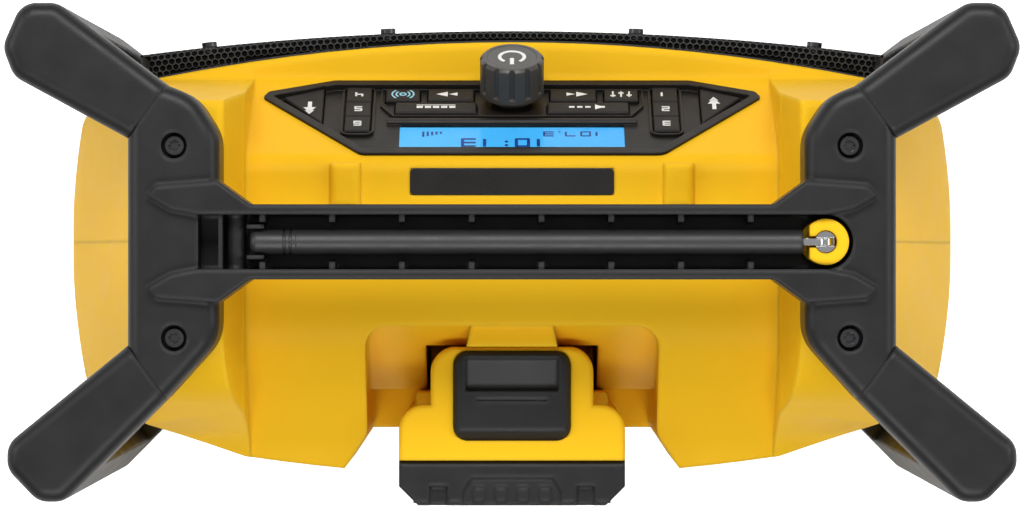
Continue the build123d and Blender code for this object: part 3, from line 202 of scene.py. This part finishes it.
panel_tilt = 61
panel_forward = 0.04552
panel_height = 0.150
mark_thickness = 0.0001
tray_depth = 0.0015
middle_y = sum(corner.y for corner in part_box("aerial_mount")) / 2
panel = (Matrix.Translation((0, middle_y - panel_forward, panel_height))
         @ Matrix.Rotation(math.radians(panel_tilt), 4, "X"))


def panel_spot(name):
    """Middle and height of a node's outer face, in the panel's own frame."""
    turned = panel.inverted()
    spots = [turned @ corner.co for corner in cad[name].data.vertices]
    low = [min(spot[axis] for spot in spots) for axis in (0, 1)]
    high = [max(spot[axis] for spot in spots) for axis in (0, 1)]
    top = max(spot.z for spot in spots)
    return Vector(((low[0] + high[0]) / 2, (low[1] + high[1]) / 2, top))


def placed(name, bm, material, body, matrix=Matrix()):
    """Turn a finished bmesh into a piece in its place, riding on a body."""
    bmesh.ops.transform(bm, matrix=matrix, verts=bm.verts[:])
    bmesh.ops.recalc_face_normals(bm, faces=bm.faces[:])
    mesh = bpy.data.meshes.new(name)
    bm.to_mesh(mesh)
    bm.free()
    piece = bpy.data.objects.new(name, mesh)
    bpy.context.scene.collection.objects.link(piece)
    mesh.materials.append(material)
    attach(piece, body)
    return piece


def flat_face(bm, outline):
    """Face of an outline given in mm."""
    return bm.faces.new([bm.verts.new((x / 1000, y / 1000, 0)) for x, y in outline])


def raise_faces(bm, faces, height):
    """Thicken flat faces to a height in m."""
    raised = bmesh.ops.extrude_face_region(bm, geom=faces)["geom"]
    corners = [part for part in raised if isinstance(part, bmesh.types.BMVert)]
    bmesh.ops.translate(bm, vec=(0, 0, height), verts=corners)


def printed(name, outlines, spot, material, body):
    """Printed marks on an outer face of the panel."""
    bm = bmesh.new()
    for outline in outlines:
        raise_faces(bm, [flat_face(bm, outline)], mark_thickness)
    return placed(name, bm, material, body, panel @ Matrix.Translation(spot))


def bar(x, y, width, height):
    """Rectangle outline round its middle."""
    return [(x - width / 2, y - height / 2), (x + width / 2, y - height / 2),
            (x + width / 2, y + height / 2), (x - width / 2, y + height / 2)]


def arc(radius, thickness, start, end, steps=12, x=0.0, y=0.0):
    """Band along a circle, from one angle to another, as quads."""
    quads = []
    for step in range(steps):
        first = math.radians(start + (end - start) * step / steps)
        second = math.radians(start + (end - start) * (step + 1) / steps)
        quads.append([(x + (radius + shift) * math.cos(angle), y + (radius + shift) * math.sin(angle))
                      for shift, angle in ((0, first), (thickness, first), (thickness, second), (0, second))])
    return quads


digit_bars = {"0": "abcdef", "1": "bc", "2": "abged", "3": "abgcd", "4": "fgbc", "5": "afgcd",
              "6": "afgedc", "7": "abc", "8": "abcdefg", "9": "abcdfg"}


def digits(text, x, y, width, height, stroke, gap):
    """Seven-bar figures standing in a row from x, with points and colons."""
    outlines = []
    upright = (height - stroke) / 2
    for figure in text:
        if figure in ".:":
            for level in ([0.0] if figure == "." else [0.3, 0.7]):
                outlines.append(bar(x + stroke / 2, y + stroke / 2 + level * height, stroke, stroke))
            x += stroke + gap
            continue
        for part in digit_bars[figure]:
            if part in "agd":
                level = {"d": 0, "g": upright, "a": 2 * upright}[part]
                outlines.append(bar(x + width / 2, y + stroke / 2 + level, width - 0.3 * stroke, stroke))
            else:
                across = stroke / 2 if part in "ef" else width - stroke / 2
                level = stroke / 2 + (upright / 2 if part in "ec" else 1.5 * upright)
                outlines.append(bar(x + across, y + level, stroke, upright - 0.1 * stroke))
        x += width + gap
    return outlines


def ridge(name, outline, width, height):
    """Low rib round a field of keys, standing on the panel's floor."""
    bm = bmesh.new()
    face = flat_face(bm, outline)
    face.normal_update()
    ring = bmesh.ops.inset_region(bm, faces=[face], thickness=width, use_boundary=True,
                                  use_even_offset=True)["faces"]
    bmesh.ops.delete(bm, geom=[face], context="FACES")
    raise_faces(bm, ring, height)
    floor_level = Matrix.Translation((0, 0, -tray_depth))
    return placed(name, bm, panel_plastic, "cage", panel @ floor_level)


def round_frame(x, y, width, height, radius):
    """Outline of a rectangle with round corners."""
    steps = 6
    outline = []
    for across, up, start in ((1, 1, 0), (-1, 1, 90), (-1, -1, 180), (1, -1, 270)):
        middle_x = x + across * (width / 2 - radius)
        middle_up = y + up * (height / 2 - radius)
        for step in range(steps + 1):
            angle = math.radians(start + 90 * step / steps)
            outline.append((middle_x + radius * math.cos(angle), middle_up + radius * math.sin(angle)))
    return outline


preset_rib_x = 56.6
preset_rib_y = -7.4
preset_rib_size = (12.4, 38.2)
preset_rib_corner = 3.4
for word, x in (("left", -preset_rib_x), ("right", preset_rib_x)):
    ridge("key_rib_" + word, round_frame(x, preset_rib_y, *preset_rib_size, preset_rib_corner),
          0.0008, 0.0011)
middle_rib_half = 48.6
middle_rib_top_half = 44.0
middle_rib_low, middle_rib_bend, middle_rib_top = -25.4, -11.6, -3.4
ridge("key_rib_middle",
      [(-middle_rib_half, middle_rib_low), (middle_rib_half, middle_rib_low),
       (middle_rib_half, middle_rib_bend), (middle_rib_top_half, middle_rib_top),
       (-middle_rib_top_half, middle_rib_top), (-middle_rib_half, middle_rib_bend)],
      0.0007, 0.0009)

white_ink = moulded("white_ink", (0.8, 0.79, 0.76, 1), (0.74, 0.73, 0.7, 1), (0.85, 0.85, 0.82, 1), 0.5,
                    rounding=0.0001, depth=0.05)
blue_ink = moulded("blue_ink", (0.3, 0.62, 0.75, 1), (0.26, 0.56, 0.7, 1), (0.4, 0.7, 0.8, 1), 0.5,
                   rounding=0.0001, depth=0.05)
for side, word in ((-1, "left"), (1, "right")):
    seek = "seek_button_" + word
    arrows = [[(side * 1.2, -1.9), (side * 5.4, 0), (side * 1.2, 1.9)],
              [(side * -2.4, -1.3), (side * 0.7, 0), (side * -2.4, 1.3)]]
    printed("seek_mark_" + word, arrows, panel_spot(seek), white_ink, seek)
    tune = "tune_button_" + word
    stalk = [bar(0, -side * 2.2, 1.5, 4.6), [(-2.3, 0), (2.3, 0), (0, side * 4.0)],
             [(-1.7, side * 2.4), (1.7, side * 2.4), (0, side * 5.4)]]
    spot = panel_spot(tune) + Vector((-side * 0.0025, side * 0.0015, 0))
    printed("tune_mark_" + word, stalk, spot, white_ink, tune)
    for row in range(3):
        number = row + 1 if side < 0 else row + 4
        key = "preset_button_" + str(number)
        printed("preset_mark_" + str(number), digits(str(number), -1.5, -1.9, 3.0, 3.8, 0.75, 0.5),
                panel_spot(key), white_ink, key)
printed("mode_mark", [bar(x, 0, 2.3, 1.6) for x in (-6, -3, 0, 3, 6)] + [bar(0, -1.6, 14.3, 0.4)],
        panel_spot("wide_button_right"), white_ink, "wide_button_right")
printed("mute_mark", [[(-6.2, -0.7), (-4.6, -0.7), (-2.6, -1.9), (-2.6, 1.9), (-4.6, 0.7), (-6.2, 0.7)]]
        + [bar(x, 0, 2.0, 1.2) for x in (0, 3, 6)],
        panel_spot("wide_button_left"), white_ink, "wide_button_left")
waves = arc(0.7, 0.7, 0, 360)
for radius in (2.2, 3.7):
    waves += arc(radius, 0.6, -50, 50) + arc(radius, 0.6, 130, 230)
printed("link_mark", waves, panel_spot("small_button_right"), blue_ink, "small_button_right")
sliders = [bar(x, 0, 0.6, 4.4) for x in (-3, 0, 3)]
sliders += [bar(x, y, 1.9, 1.0) for x, y in ((-3, 0.8), (0, -0.9), (3, 1.2))]
printed("tone_mark", sliders, panel_spot("small_button_left"), white_ink, "small_button_left")
power = arc(3.9, 1.3, 128, 412, 40) + [bar(0, 3.6, 1.5, 5.0)]
printed("power_mark", power, panel_spot("knob_cap"), white_ink, "knob")

glow = bpy.data.materials.new("display_glow")
glow.use_nodes = True
tree = glow.node_tree
shader = tree.nodes["Principled BSDF"]
place = add(tree, "TexCoord").outputs["Object"]
across = add(tree, "SeparateXYZ", {"Vector": place})
wash = add(tree, "MapRange", {"Value": across.outputs["X"], "From Min": -0.04, "From Max": 0.04})
haze = add(tree, "TexNoise", {"Vector": place, "Scale": 30, "Detail": 2}).outputs["Fac"]
lit = blended(tree, wash.outputs["Result"], (0.045, 0.44, 0.94, 1), (0.08, 0.56, 1, 1))
lit = blended(tree, haze, lit, (0.06, 0.5, 1, 1))
shader.inputs["Base Color"].default_value = (0.01, 0.03, 0.05, 1)
tree.links.new(lit, shader.inputs["Emission Color"])
shader.inputs["Emission Strength"].default_value = 0.95
shader.inputs["Roughness"].default_value = 0.5
shader.inputs["Specular IOR Level"].default_value = 0.1
dress("display_module", glow)

clear_plastic = bpy.data.materials.new("clear_plastic")
clear_plastic.use_nodes = True
tree = clear_plastic.node_tree
shader = tree.nodes["Principled BSDF"]
place = add(tree, "TexCoord").outputs["Object"]
haze = add(tree, "TexNoise", {"Vector": place, "Scale": 200, "Detail": 3}).outputs["Fac"]
tint = blended(tree, haze, (0.93, 0.97, 1.0, 1), (0.86, 0.93, 0.98, 1))
tree.links.new(tint, shader.inputs["Base Color"])
shader.inputs["Transmission Weight"].default_value = 1.0
shader.inputs["Roughness"].default_value = 0.05
shader.inputs["IOR"].default_value = 1.1
lens_spots = [panel.inverted() @ corner.co for corner in cad["display_lens"].data.vertices]
lens_low = [min(spot[axis] for spot in lens_spots) for axis in range(3)]
lens_high = [max(spot[axis] for spot in lens_spots) for axis in range(3)]
lens_height = 0.0006
lens_bevel = 0.00015
lens_size = (lens_high[0] - lens_low[0], lens_high[1] - lens_low[1], lens_height)
lens_middle = ((lens_high[0] + lens_low[0]) / 2, (lens_high[1] + lens_low[1]) / 2,
               lens_high[2] - lens_height / 2)
bm = bmesh.new()
bmesh.ops.create_cube(bm, size=1)
bmesh.ops.scale(bm, vec=lens_size, verts=bm.verts[:])
bmesh.ops.translate(bm, vec=lens_middle, verts=bm.verts[:])
bmesh.ops.bevel(bm, geom=bm.edges[:], offset=lens_bevel, offset_type="OFFSET", affect="EDGES",
                segments=2, profile=0.5, material=-1)
lens = placed("display_window", bm, clear_plastic, "cage", panel)
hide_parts("display_lens")
lcd_ink = moulded("lcd_ink", (0.01, 0.05, 0.25, 1), (0.012, 0.06, 0.28, 1), (0.015, 0.07, 0.3, 1), 0.6,
                  rounding=0.0001, depth=0.05, specular=0.05)
figures = digits("107.3", -34.5, 5.6, 4.0, 3.9, 0.75, 1.6)
figures += digits("10:13", -14.6, 11.0, 5.6, 6.8, 1.2, 2.4)
for step, x in enumerate((26, 27.6, 29.2, 30.8, 32.4)):
    figures.append(bar(x, 6.6 + 0.3 * step, 0.8, 1.6 + 0.6 * step))
printed("display_figures", figures, Vector((0, 0, lens_low[2])), lcd_ink, "cage")

# ----------------------------------------------------------------------------------- speakers
# Two full-range drivers behind a curved cover of steel sheet, punched with six-sided holes, bent
# back along its top, painted black and lined with felt. The felt's near-black colour is painted
# shade, standing in for the dark space seen through the holes.
cone_paper = moulded("cone_paper", (0.05, 0.05, 0.052, 1), (0.035, 0.035, 0.036, 1),
                     (0.09, 0.09, 0.09, 1), 0.7, grain=700, depth=0.5)
magnet_paint = moulded("magnet_paint", (0.1, 0.1, 0.105, 1), (0.07, 0.07, 0.075, 1),
                       (0.2, 0.2, 0.2, 1), 0.4)
for side in ("left", "right"):
    dress("speaker_cone_" + side, cone_paper)
    dress("speaker_frame_" + side, magnet_paint)
    dress("speaker_magnet_" + side, magnet_paint)
mesh_paint = moulded("mesh_paint", (0.02, 0.02, 0.021, 1), (0.014, 0.014, 0.015, 1),
                     (0.05, 0.05, 0.05, 1), 0.45, rounding=0.0003)
low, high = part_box("grille")
grille_half = (high.x - low.x) / 2
sheet_thickness = 0.0009
bend_radius = 0.003
hole_pitch = 0.0025
web = 0.00042
first_row_up = 0.002
end_margin = 0.001
deepest_return = 0.009
arc_front_y = low.y
arc_corner_y = middle_y - 0.0703
sagitta = arc_corner_y - arc_front_y
arc_radius = (grille_half**2 + sagitta**2) / (2 * sagitta)
arc_centre_y = arc_front_y + arc_radius
lip_front_y = middle_y - 0.075
lip_corner_y = middle_y - 0.061
lip_half = 0.134
lip_end_slope = 0.6
lip_sagitta = lip_corner_y - lip_front_y
lip_radius = (lip_half**2 + lip_sagitta**2) / (2 * lip_sagitta)
lip_centre_y = lip_front_y + lip_radius


def return_depth(x):
    """How far the cover's top reaches back to the body at x."""
    bow = min(abs(x), lip_half)
    lip = lip_centre_y - math.sqrt(lip_radius**2 - bow**2) + lip_end_slope * (abs(x) - bow)
    cover = arc_centre_y - math.sqrt(arc_radius**2 - x**2)
    return lip - cover


def bent(along, up):
    """Place on the cover of a point of its flat sheet."""
    rise = high.z - low.z - bend_radius
    quarter = bend_radius * math.pi / 2
    if up <= rise:
        inward, level = 0.0, low.z + up
    elif up <= rise + quarter:
        angle = (up - rise) / bend_radius
        inward, level = bend_radius * (1 - math.cos(angle)), low.z + rise + bend_radius * math.sin(angle)
    else:
        inward, level = bend_radius + up - rise - quarter, high.z
    turn = along / arc_radius
    reach = arc_radius - inward
    return Vector((reach * math.sin(turn), arc_centre_y - reach * math.cos(turn), level))


bm = bmesh.new()
cell_radius = hole_pitch / math.sqrt(3)
columns = int(2 * grille_half / hole_pitch) - 1
for column in range(columns):
    bmesh.ops.create_circle(bm, cap_ends=True, segments=6, radius=cell_radius,
                            matrix=Matrix.Translation(((column - (columns - 1) / 2) * hole_pitch, 0, 0)))
first_row = bm.faces[:]
row_pitch = 1.5 * cell_radius
rows = int((high.z - low.z + deepest_return) / row_pitch)
for row in range(1, rows):
    copied = bmesh.ops.duplicate(bm, geom=first_row)["geom"]
    verts = [part for part in copied if isinstance(part, bmesh.types.BMVert)]
    bmesh.ops.translate(bm, vec=((row % 2) * hole_pitch / 2, row * row_pitch, 0), verts=verts)
bmesh.ops.translate(bm, vec=(-hole_pitch / 4, first_row_up, 0), verts=bm.verts[:])
bmesh.ops.remove_doubles(bm, verts=bm.verts[:], dist=0.00005)
flat_rise = high.z - low.z - bend_radius + bend_radius * math.pi / 2 - bend_radius
spare = [face for face in bm.faces
         if any(abs(corner.co.x) > grille_half - end_margin
                or corner.co.y > flat_rise + return_depth(corner.co.x) for corner in face.verts)]
bmesh.ops.delete(bm, geom=spare, context="FACES")
cells = bm.faces[:]
bmesh.ops.inset_individual(bm, faces=cells, thickness=web / 2, use_even_offset=True)
bmesh.ops.delete(bm, geom=cells, context="FACES")
for corner in bm.verts:
    corner.co = bent(corner.co.x, corner.co.y)
bmesh.ops.recalc_face_normals(bm, faces=bm.faces[:])
bmesh.ops.solidify(bm, geom=bm.faces[:], thickness=sheet_thickness)


def add_band(bm, centre_y, half_angle, section):
    """Solid strip along an arc seen from above, from its cross-section of (radius, height)."""
    start_x, start_y = -math.sin(half_angle), -math.cos(half_angle)
    corners = [bm.verts.new((radius * start_x, centre_y + radius * start_y, level))
               for radius, level in section]
    face = bm.faces.new(corners)
    bmesh.ops.spin(bm, geom=[face], cent=(0, centre_y, 0), axis=(0, 0, 1), angle=2 * half_angle,
                   steps=48, use_merge=False, dvec=(0, 0, 0))


def add_strip(bm, size, turn, spot):
    """Straight strip of the cover, turned about the upright and moved to its place."""
    made = bmesh.ops.create_cube(bm, size=1)["verts"]
    bmesh.ops.scale(bm, vec=size, verts=made)
    bmesh.ops.rotate(bm, cent=(0, 0, 0), matrix=Matrix.Rotation(turn, 3, "Z"), verts=made)
    bmesh.ops.translate(bm, vec=spot, verts=made)


rim = 0.0026
hem_depth = 0.0038
lip_band = 0.0007
lip_band_height = 0.0012
band_half = 0.1325
inner_radius = arc_radius - sheet_thickness
hem_radius = arc_radius - hem_depth
cover_turn = math.asin(grille_half / arc_radius)
add_band(bm, arc_centre_y, cover_turn,
         [(arc_radius, low.z), (arc_radius, low.z + rim), (inner_radius, low.z + rim),
          (inner_radius, low.z + sheet_thickness), (hem_radius, low.z + sheet_thickness),
          (hem_radius, low.z)])
add_band(bm, lip_centre_y, math.asin(band_half / lip_radius),
         [(lip_radius, high.z), (lip_radius + lip_band, high.z),
          (lip_radius + lip_band, high.z - lip_band_height), (lip_radius, high.z - lip_band_height)])
end_height = high.z - low.z - 0.0002
end_level = (high.z + low.z) / 2
end_front_y = arc_centre_y - math.sqrt(arc_radius**2 - grille_half**2)
end_depth = return_depth(grille_half - sheet_thickness) - 0.0004
lip_end_turn = math.atan(lip_end_slope)
lip_end_length = (grille_half - band_half) / math.cos(lip_end_turn)
lip_end_x = (grille_half + band_half) / 2
lip_end_y = lip_corner_y + lip_end_slope * (lip_end_x - lip_half) - 0.0004
for side in (-1, 1):
    add_strip(bm, (lip_end_length, lip_band, lip_band_height), side * lip_end_turn,
              (side * lip_end_x, lip_end_y, high.z - lip_band_height / 2))
    add_strip(bm, (sheet_thickness, end_depth, end_height), 0,
              (side * (grille_half - sheet_thickness / 2), end_front_y + end_depth / 2, end_level))
    add_strip(bm, (rim, sheet_thickness, end_height), side * cover_turn,
              (side * (grille_half - rim / 2), end_front_y - 0.00002 + sheet_thickness / 2, end_level))

cloth_drop = sheet_thickness + 0.0003
cloth_low = 0.003
cloth_short = 0.0008
cloth_side_gap = 0.002
cloth_thickness = 0.0002
cloth = bmesh.new()
bmesh.ops.create_grid(cloth, x_segments=90, y_segments=60, size=0.5)
bmesh.ops.translate(cloth, vec=(0, 0.5, 0), verts=cloth.verts[:])
bmesh.ops.scale(cloth, vec=(2 * (grille_half - cloth_side_gap), 1, 1), verts=cloth.verts[:])
for corner in cloth.verts:
    cloth_top = flat_rise + return_depth(corner.co.x) - cloth_short
    corner.co.y = cloth_low + corner.co.y * (cloth_top - cloth_low)
    flat = bent(corner.co.x, corner.co.y)
    inner = Vector((0, arc_centre_y, 0)) - Vector((flat.x, flat.y, 0))
    fold = (corner.co.y - (high.z - low.z - bend_radius)) / bend_radius
    fold = min(max(fold, 0), math.pi / 2)
    corner.co = flat + cloth_drop * (math.cos(fold) * inner.normalized() - Vector((0, 0, math.sin(fold))))
bmesh.ops.recalc_face_normals(cloth, faces=cloth.faces[:])
bmesh.ops.solidify(cloth, geom=cloth.faces[:], thickness=cloth_thickness)
# Near-black felt sheet: painted shade behind the perforated cover.
shade_felt = moulded("shade_felt", (0.006, 0.006, 0.006, 1), (0.004, 0.004, 0.004, 1), (0.01, 0.01, 0.01, 1), 0.9,
               grain=3000, depth=0.6, specular=0.1)
placed("grille_cloth", cloth, shade_felt, "cage")

screw_drop = 0.006
sleeve_radius = 0.0042
sleeve_wall = 0.0003
pad_radius = 0.004
pad_sink = 0.0004
for x in (-0.1135, -0.0465, 0.0465, 0.1135):
    turn = math.asin(x / arc_radius)
    away = Vector((math.sin(turn), -math.cos(turn), 0))
    facing = away.to_track_quat("Z", "Y").to_matrix().to_4x4()
    centre = Vector((0, arc_centre_y, high.z - screw_drop))
    room = return_depth(x) - sheet_thickness
    sleeve_middle = centre + away * (inner_radius - room / 2)
    sleeve = bmesh.ops.create_cone(bm, cap_ends=False, segments=32, radius1=sleeve_radius,
                                   radius2=sleeve_radius, depth=room,
                                   matrix=Matrix.Translation(sleeve_middle) @ facing)["verts"]
    walls = list({face for corner in sleeve for face in corner.link_faces})
    bmesh.ops.solidify(bm, geom=walls, thickness=-sleeve_wall)
    pad_middle = centre + away * (arc_radius - (sheet_thickness + pad_sink) / 2)
    bmesh.ops.create_cone(bm, cap_ends=True, segments=32, radius1=pad_radius, radius2=pad_radius,
                          depth=sheet_thickness - pad_sink,
                          matrix=Matrix.Translation(pad_middle) @ facing)
perforated = placed("grille_mesh", bm, mesh_paint, "cage")
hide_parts("grille")

# --------------------------------------------------------------------------------- label plate
# Bare glossy black plate let into the top in front of the handle.
plate_gloss = moulded("plate_gloss", (0.022, 0.02, 0.018, 1), (0.018, 0.016, 0.015, 1),
                      (0.06, 0.06, 0.06, 1), 0.3, depth=0.05, rounding=0.0006, specular=0.3)
dress("label_plate", plate_gloss)

# -------------------------------------------------------------------------------- battery pack
# Yellow upper shell and black lower shell screwed together round ten cells, on a rail in the bay.
dress("pack_front_shell", yellow_plastic)
dress("pack_base_shell", black_plastic)
dress("pack_release", black_plastic)
dress("battery_dock", black_plastic)
brass = metal("brass", (0.75, 0.55, 0.26, 1), (0.62, 0.44, 0.2, 1), 0.25)
dress("dock_blades", brass)
dress("pack_contacts", brass)
cell_wrap = moulded("cell_wrap", (0.03, 0.2, 0.17, 1), (0.02, 0.15, 0.13, 1), (0.1, 0.4, 0.35, 1),
                    0.3)
dress("pack_cells", cell_wrap)

# ------------------------------------------------------------------------ floor, lamps, camera
# Plain white floor, four soft lamps and a camera high over the middle of the radio.
bm = bmesh.new()
bmesh.ops.create_grid(bm, x_segments=1, y_segments=1, size=6)
floor_mesh = bpy.data.meshes.new("floor")
bm.to_mesh(floor_mesh)
bm.free()
floor = bpy.data.objects.new("floor", floor_mesh)
bpy.context.scene.collection.objects.link(floor)
paper = bpy.data.materials.new("floor_paper")
paper.use_nodes = True
tree = paper.node_tree
shader = tree.nodes["Principled BSDF"]
shader.inputs["Base Color"].default_value = (0.9, 0.9, 0.9, 1)
shader.inputs["Roughness"].default_value = 0.9
rays = add(tree, "LightPath")
seen = add(tree, "Math", {0: rays.outputs["Is Camera Ray"], 1: rays.outputs["Is Transmission Ray"]},
           operation="MAXIMUM")
glow_share = add(tree, "Math", {0: seen.outputs[0], 1: 0.75}, operation="MULTIPLY")
shader.inputs["Emission Color"].default_value = (1, 1, 1, 1)
tree.links.new(glow_share.outputs[0], shader.inputs["Emission Strength"])
floor_mesh.materials.append(paper)


def lamp(name, place, size, power, aim):
    """Soft lamp with a rectangular face, pointed at a place."""
    data = bpy.data.lights.new(name, "AREA")
    data.shape = "RECTANGLE"
    data.size, data.size_y = size
    data.energy = power
    lamp_object = bpy.data.objects.new(name, data)
    lamp_object.location = place
    lamp_object.rotation_euler = (Vector(aim) - Vector(place)).to_track_quat("-Z", "Y").to_euler()
    bpy.context.scene.collection.objects.link(lamp_object)


lamp("left_lamp", (1.3, -0.3, 1.0), (0.7, 0.7), 6, (0, 0, 0.15))
lamp("right_lamp", (-1.3, -0.3, 1.0), (0.7, 0.7), 6, (0, 0, 0.15))
lamp("rear_lamp", (0, 1.15, 1.9), (1.5, 0.6), 21, (0, 0, 0.1))
lamp("front_lamp", (0, -1.15, 1.9), (1.5, 0.6), 30, (0, 0, 0.1))

world = bpy.data.worlds.new("studio")
bpy.context.scene.world = world
world.use_nodes = True
sky = world.node_tree.nodes["Background"]
sky.inputs["Color"].default_value = (1, 1, 1, 1)
sky.inputs["Strength"].default_value = 0.3

camera_height = 1.710
camera_behind = 0.0042
camera_data = bpy.data.cameras.new("camera")
camera = bpy.data.objects.new("camera", camera_data)
bpy.context.scene.collection.objects.link(camera)
camera.location = (0, middle_y + camera_behind, camera_height)
camera.rotation_euler = (0, 0, math.pi)
camera_data.sensor_width = 36
camera_data.lens = 149.55
bpy.context.scene.camera = camera
bpy.context.scene.view_settings.view_transform = "Standard"
